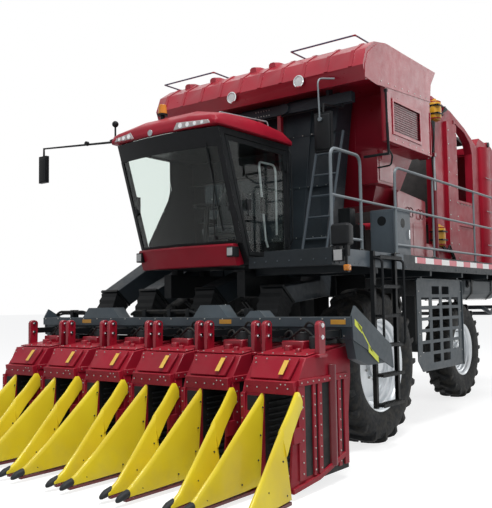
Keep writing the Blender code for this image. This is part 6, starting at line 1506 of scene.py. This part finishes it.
def accumulator_details():
    """Hood, upper side panel, mesh window, seams, humps and loops on top, engine side doors and rams."""
    softened("accumulator", 0.012, RED)
    bm = bmesh.new()
    panel = ((-1.845, 4.462), (-1.540, 4.435), (-1.30, 4.460), (0.115, 4.570), (0.150, 4.825), (0.330, 5.040),
             (-1.225, 5.038), (-1.515, 4.955), (-1.745, 4.800), (-1.835, 4.620))
    prism(bm, panel, "side", 1.9204, 0.006)
    piece("upper_side_panel", bm, "machine", RED, 0.003)
    bm = bmesh.new()
    frame = ((-1.115, 3.895), (-0.225, 3.895), (-0.225, 4.365), (-1.115, 4.365))
    inner = ((-1.075, 3.935), (-0.265, 3.935), (-0.265, 4.325), (-1.075, 4.325))
    for (a, b), (c, d) in zip(zip(frame, frame[1:] + frame[:1]), zip(inner, inner[1:] + inner[:1])):
        prism(bm, (a, b, d, c), "side", SIDE_BOX_SKIN, 0.010)
    piece("mesh_window_frame", bm, "machine", RED, 0.002)
    bm = bmesh.new()
    for step in range(27):
        y = -1.075 + 0.030 * step
        block(bm, (1.9010, y, 3.90), (1.9045, y + 0.012, 4.36))
    for step in range(15):
        z = 3.91 + 0.030 * step
        block(bm, (1.9046, -1.11, z), (1.9075, -0.23, z + 0.012))
    piece("mesh_window", bm, "machine", DARK_RED)
    # Painted shade: a dark sheet behind the mesh, where the inside of the box lies in shade
    bm = bmesh.new()
    block(bm, (1.9003, -1.109, 3.903), (1.9008, -0.233, 4.357))
    piece("mesh_window_painted_shade", bm, "machine", CASTING)
    bm = bmesh.new()
    for y in (-1.298, 0.085):
        block(bm, (SIDE_BOX_SKIN, y, 3.79), (1.932, y + 0.014, 4.41))
    block(bm, (SIDE_BOX_SKIN, -1.30, 3.782), (1.930, 0.10, 3.797))
    piece("side_box_edges", bm, "machine", RED, 0.002)
    places = [((1.9204, -1.24 + 0.21 * step, 3.835), (1.0, 0.0, 0.0)) for step in range(7)]
    places += [((1.9265, -1.42 + 0.20 * step, 4.51 + 0.012 * step), (1.0, 0.0, 0.0)) for step in range(8)]
    places += [((1.9204, -1.272, 3.86 + 0.105 * step), (1.0, 0.0, 0.0)) for step in range(6)]
    bolts("side_box_bolts", "machine", places, 0.009, 0.006)
    bm = bmesh.new()
    rod(bm, (1.947, -1.335, 4.40), (1.947, -1.325, 3.98), 0.014, 12)
    piece("side_ram_rod", bm, "machine", BLACK_STEEL)
    bm = bmesh.new()
    rod(bm, (1.947, -1.325, 4.00), (1.947, -1.300, 3.62), 0.018, 14)
    block(bm, (1.922, -1.345, 4.39), (1.960, -1.305, 4.43))
    block(bm, (1.60, -1.315, 3.595), (1.960, -1.285, 3.625))
    run = [(1.947, -1.30, 3.66), (1.96, -1.22, 3.60), (1.88, -1.10, 3.50), (1.62, -0.95, 3.52)]
    tube(bm, run, 0.012, 0.06)
    piece("side_ram_barrel", bm, "machine", BLACK_STEEL, 0.003)
    bm = bmesh.new()
    for x in (-1.20, -0.30, 0.60, 1.20):
        block(bm, (x - 0.006, -0.7835, 3.82), (x + 0.006, -0.7803, 4.42))
    block(bm, (-1.49, -0.7845, 3.775), (1.61, -0.7803, 3.805))
    piece("hopper_front_seams", bm, "machine", RED, 0.002)
    bm = bmesh.new()
    for x in (-1.10, -0.62, 0.10, 0.42):
        sections = []
        for reach, grow in ((-1.62, 0.6), (-1.50, 0.95), (-1.36, 1.0), (-1.16, 0.9), (-1.02, 0.6)):
            top = 4.97 + 0.075 * grow if reach < -1.3 else 5.035 + 0.03 * grow
            foot, shoulder, crown = 0.10 * grow, 0.085 * grow, 0.04 * grow
            sections.append([(x - foot, reach, 4.84), (x + foot, reach, 4.84),
                             (x + shoulder, reach, top - 0.02), (x + crown, reach, top),
                             (x - crown, reach, top), (x - shoulder, reach, top - 0.02)])
        loft(bm, sections)
    piece("hood_top_humps", bm, "machine", RED, 0.0, 60.0)
    bm = bmesh.new()
    for x in (-1.58, 0.72):
        corners = ((x, -1.60), (x + 0.96, -1.60), (x + 0.96, -1.20), (x, -1.20), (x, -1.60))
        tube(bm, [(*corner, 5.10) for corner in corners], 0.0102, 0.05)
    piece("hood_wire_loops", bm, "machine", LOOP_BLUE)
    bm = bmesh.new()
    block(bm, (1.562, -0.80, 3.38), (1.568, -0.36, 3.76))
    block(bm, (1.35, -0.854, 3.40), (1.54, -0.8503, 3.76))
    piece("under_box_covers", bm, "machine", RED, 0.002)
    softened("engine_side_panel", 0.008, RED)
    bm = bmesh.new()
    block(bm, (BUILDER_SKIN, -0.10, 2.40), (1.5045, 0.34, 2.90))
    block(bm, (BUILDER_SKIN, 0.36, 2.40), (1.5045, 0.80, 2.90))
    piece("side_panel_doors", bm, "machine", RED, 0.002)
    bm = bmesh.new()
    for y in (0.18, 0.56):
        far = y + 0.11
        run = [(BUILDER_SKIN, y, 3.12), (1.532, y, 3.10), (1.532, y, 2.98), (1.532, far, 2.98),
               (1.532, far, 3.10), (BUILDER_SKIN, far, 3.12)]
        tube(bm, run, 0.008, 0.02)
    piece("side_panel_handles", bm, "machine", DARK_RED)
    bm = bmesh.new()
    rod(bm, (1.60, 0.98, 3.42), (1.60, 0.98, 3.98), 0.016, 14)
    piece("hoist_rod", bm, "machine", PALE_STEEL)
    bm = bmesh.new()
    rod(bm, (1.60, 0.98, 2.36), (1.60, 0.98, 3.44), 0.030, 16)
    block(bm, (1.56, 0.93, DECK_SKIN), (1.64, 1.03, 2.38))
    block(bm, (1.50, 0.94, 3.96), (1.63, 1.02, 4.02))
    block(bm, (1.36, 0.94, 3.94), (1.52, 1.02, 4.04))
    piece("hoist_barrel", bm, "machine", DARK_RED, 0.004)


def builder_details():
    """Builder side seams, window flanges, canisters, hoses, belts, gate ribs and the cradle."""
    softened("builder_frame", 0.008, SATIN_RED)
    softened("module_belts", 0.0, BELT)
    softened("rear_gate", 0.008, SATIN_RED)
    softened("bale_handler", 0.0, DUCT_GREY)
    softened("engine_block", 0.03, CASTING)
    window = [(2.122, 3.431), (2.890, 3.431), (2.890, 4.312), (2.787, 4.499), (2.531, 4.633), (2.122, 4.713)]
    for side, label in ((1, "left"), (-1, "right")):
        bm = bmesh.new()
        face = side * BUILDER_SKIN
        grown = []
        for y, z in window:
            out = 0.045 if y > 2.5 else -0.045
            up = 0.045 if z > 4.4 else (-0.045 if z < 3.6 else 0.02)
            grown.append((y + out, z + up))
        for (a, b), (c, d) in zip(zip(window, window[1:] + window[:1]), zip(grown, grown[1:] + grown[:1])):
            prism(bm, (a, b, d, c), "side", min(face, face + side * 0.012), 0.012)
        low, high = sorted((face, face + side * 0.02))
        block(bm, (low, 1.215, 2.34), (high, 1.255, 4.93))
        block(bm, (low, 1.30, 2.60), (high, 1.62, 2.64))
        block(bm, (low, 2.12, 3.00), (high, 2.98, 3.05))
        piece("builder_side_flanges_" + label, bm, "machine", SATIN_RED, 0.003)
        places = [((side * 1.5504, y, 2.45 + 0.23 * row), (side, 0.0, 0.0))
                  for y in (1.71, 2.03) for row in range(10)]
        places += [((side * 1.5004, 2.20 + 0.14 * step, 3.38), (side, 0.0, 0.0)) for step in range(5)]
        bolts("builder_bolts_" + label, "machine", places, 0.011, 0.008)
    bm = bmesh.new()
    x, y = CANISTER_AXIS
    angles = [FULL_TURN * step / 24 for step in range(24)]
    for foot in CANISTER_FEET:
        rings = []
        for radius, rise in ((0.060, -0.022), (0.092, -0.004), (0.1035, 0.03), (0.1035, 0.25), (0.092, 0.284),
                             (0.060, 0.302), (0.030, 0.306), (0.028, 0.330)):
            rings.append([(x + radius * math.cos(angle), y + radius * math.sin(angle), foot + rise)
                          for angle in angles])
        loft(bm, rings)
    piece("canister_shells", bm, "machine", CANISTER, 0.0, 50.0)
    bm = bmesh.new()
    for foot in CANISTER_FEET:
        for z in (foot + 0.07, foot + 0.20):
            block(bm, (x - 0.106, y - 0.108, z), (x + 0.106, y + 0.108, z + 0.022))
    piece("canister_bands", bm, "machine", BLACK_STEEL)
    bm = bmesh.new()
    for offset, reach in ((0.0, 0.0), (0.04, 0.05), (0.08, -0.03)):
        half = offset / 2
        down = [(1.55, 1.16 - offset, 4.55), (1.56 + half, 1.10 - offset, 4.30 + reach),
                (1.53, 1.14 - offset, 3.95), (1.57, 1.10 - half, 3.55 + reach), (1.54, 1.15 - half, 3.10),
                (1.55, 1.14 - half, 2.90)]
        below = [(1.56, 1.30 + offset, 2.60), (1.58, 1.42 + offset, 2.50),
                 (1.56, 1.55 + offset, 2.62 + reach), (1.57, 1.70 + offset, 2.46),
                 (1.54, 1.80 + offset, 2.36)]
        above = [(1.54, 1.32 + offset, 4.62 + offset), (1.56, 1.50 + offset, 4.76 + half),
                 (1.54, 1.66 + offset, 4.90 - half), (1.48, 1.78 + offset, 4.905)]
        tube(bm, down, 0.014, 0.10)
        tube(bm, below, 0.013, 0.08)
        tube(bm, above, 0.013, 0.08)
    piece("builder_hoses", bm, "machine", BLACK_PLASTIC)
    bm = bmesh.new()
    for z in (2.72, 3.32, 3.92):
        block(bm, (1.6085, 3.255, z), (1.6150, 3.685, z + 0.02))
    piece("column_bands", bm, "machine", DARK_RED, 0.002)
    bm = bmesh.new()
    for x in (-1.05, -0.35, 0.35, 1.05):
        sections = []
        for u, v in ((0.20, 0.98), (0.62, 0.88), (0.90, 0.66), (1.0, 0.45), (0.90, 0.22), (0.60, 0.03)):
            y, z = 3.76 + u * 1.05, 2.16 + v * 2.48
            out = Vector((u - 0.35, v - 0.50)).normalized()
            root = (y - out.x * 0.004, z - out.y * 0.004)
            crest = (y + out.x * 0.030, z + out.y * 0.030)
            sections.append([(x - 0.03, *root), (x + 0.03, *root), (x + 0.03, *crest), (x - 0.03, *crest)])
        loft(bm, sections)
    piece("gate_ribs", bm, "rear_gate", DARK_RED, 0.003)
    bm = bmesh.new()
    for side in (1, -1):
        rod(bm, (side * BUILDER_SKIN, 3.76, 4.62), (side * 1.525, 3.76, 4.62), 0.045, 20)
    piece("gate_pin_caps", bm, "machine", CASTING, 0.003)


def painted_shade_curtain():
    """Painted shade: dark overlapping rubber strips hung from a bar before the engine, beside and between the
    rails, where the engine bay lies in shade.
    """
    bm = bmesh.new()
    bar = bmesh.new()
    for start, end in ((-1.20, -0.67), (-0.53, 0.53), (0.67, 1.12)):
        count = round((end - start) / SHADE_CURTAIN_STRIP)
        wide = (end - start) / count
        for index in range(count):
            low = start + index * wide
            y = SHADE_CURTAIN_Y + 0.006 * (index % 2)
            block(bm, (low - 0.004, y, 1.47 + 0.02 * (index % 3)), (low + wide + 0.004, y + 0.005, 2.12))
        block(bar, (start, SHADE_CURTAIN_Y - 0.010, 2.10), (end, SHADE_CURTAIN_Y + 0.020, 2.145))
    piece("painted_shade_curtain", bm, "machine", BOOT_RUBBER, 0.001)
    piece("painted_shade_curtain_bar", bar, "machine", BLACK_STEEL, 0.003)


def chassis_details():
    """A dark curtain of painted shade before the engine bay, and the hoses and bolts under the machine."""
    painted_shade_curtain()
    bm = bmesh.new()
    for side in (1, -1):
        for y in (-1.35, -1.06):
            rod(bm, (side * 0.79, y, 1.0), (side * 0.79, y, 1.02), 0.02, 8)
        for radius, bend, run in BELLY_HOSES:
            tube(bm, [(side * x, y, z) for x, y, z in run], radius, bend)
    piece("belly_hoses", bm, "machine", BLACK_PLASTIC)
    places = []
    for side in (1, -1):
        places += ring_places((side * 0.9995, FRONT_AXLE_Y, FRONT_RADIUS), 0.225, 8, -side)
    bolts("final_drive_bolts", "machine", places, 0.014, 0.010)


def build_upper():
    ducts_and_beam()
    accumulator_details()
    builder_details()
    chassis_details()


# The whole machine


build_header()
build_cab()
build_wheels()
build_deck()
build_upper()

for node, (width, material) in SOFT_NODES.items():
    softened(node, width, material)


# Floor, light and camera


def seen_directly(tree):
    """One for rays that show the background itself: from the camera, off gloss and through glass."""
    path = add_node(tree, "ShaderNodeLightPath")
    both = reckon(tree, "MAXIMUM", path.outputs["Is Camera Ray"], path.outputs["Is Transmission Ray"])
    return reckon(tree, "MAXIMUM", both, path.outputs["Is Glossy Ray"])


def stage_floor():
    """Plain pale floor that keeps the object's shadow."""
    material, tree, shader = new_material("matt_pale_floor")
    shader.inputs["Base Color"].default_value = linear("a3a3a2")
    shader.inputs["Roughness"].default_value = 1.0
    shader.inputs["Specular IOR Level"].default_value = 0.0
    lift = reckon(tree, "MULTIPLY", seen_directly(tree), 0.78)
    tree.links.new(lift, shader.inputs["Emission Strength"])
    shader.inputs["Emission Color"].default_value = WHITE
    bm = bmesh.new()
    bmesh.ops.create_circle(bm, cap_ends=True, segments=64, radius=160.0)
    mesh = bpy.data.meshes.new("floor")
    bm.to_mesh(mesh)
    bm.free()
    mesh.materials.append(material)
    link("floor", mesh)


# Columns: name, place, aim, width, height, power
LAMPS = (("high_key", (5.0, -5.0, 16.0), (0.5, -1.0, 2.0), 7.0, 7.0, 2300.0),
         ("side_sheen", (10.0, 17.0, 8.0), (1.9, -0.8, 4.0), 6.0, 12.0, 400.0),
         ("low_front_fill", (9.0, -15.0, 6.0), (0.5, -3.0, 1.5), 7.0, 7.0, 220.0))


def studio_light():
    """Soft sky all round, a broad key from high on the left, and a tall panel behind that draws a sheen."""
    world = bpy.data.worlds.new("studio")
    world.use_nodes = True
    tree = world.node_tree
    tree.nodes.clear()
    direct = seen_directly(tree)
    sky = add_node(tree, "ShaderNodeBackground", {"Color": linear("eef2f8"), "Strength": 0.42}).outputs[0]
    shown = add_node(tree, "ShaderNodeBackground", {"Color": WHITE, "Strength": 1.0}).outputs[0]
    joined = add_node(tree, "ShaderNodeMixShader", {0: direct, 1: sky, 2: shown}).outputs[0]
    add_node(tree, "ShaderNodeOutputWorld", {"Surface": joined})
    bpy.context.scene.world = world
    for name, place, aim, width, height, power in LAMPS:
        data = bpy.data.lights.new(name, "AREA")
        data.shape = "ELLIPSE"
        data.size = width
        data.size_y = height
        data.energy = power
        item = bpy.data.objects.new(name, data)
        bpy.context.scene.collection.objects.link(item)
        way = Vector(aim) - Vector(place)
        item.matrix_world = Matrix.Translation(place) @ way.to_track_quat("-Z", "Y").to_matrix().to_4x4()


# The photograph's camera, solved from the row spacing: place, then azimuth, pitch and roll in degrees
CAMERA_PLACE = (5.929, -9.577, 1.769)
CAMERA_ANGLES = (37.023, 3.872, -0.905)
CAMERA_LENS_MM = 51.64


def camera():
    """The photograph's camera."""
    azimuth, pitch, roll = (math.radians(angle) for angle in CAMERA_ANGLES)
    level = math.cos(pitch)
    ahead = Vector((-math.sin(azimuth) * level, math.cos(azimuth) * level, math.sin(pitch)))
    across = Vector((math.cos(azimuth), math.sin(azimuth), 0.0))
    up = across.cross(ahead)
    right = math.cos(roll) * across + math.sin(roll) * up
    top = math.cos(roll) * up - math.sin(roll) * across
    data = bpy.data.cameras.new("photo_camera")
    data.lens = CAMERA_LENS_MM
    data.sensor_width = 36.0
    item = bpy.data.objects.new("photo_camera", data)
    bpy.context.scene.collection.objects.link(item)
    turn = Matrix((right, top, -ahead)).transposed().to_4x4()
    item.matrix_world = Matrix.Translation(CAMERA_PLACE) @ turn
    bpy.context.scene.camera = item


stage_floor()
studio_light()
camera()
bpy.context.scene.view_settings.view_transform = "Standard"
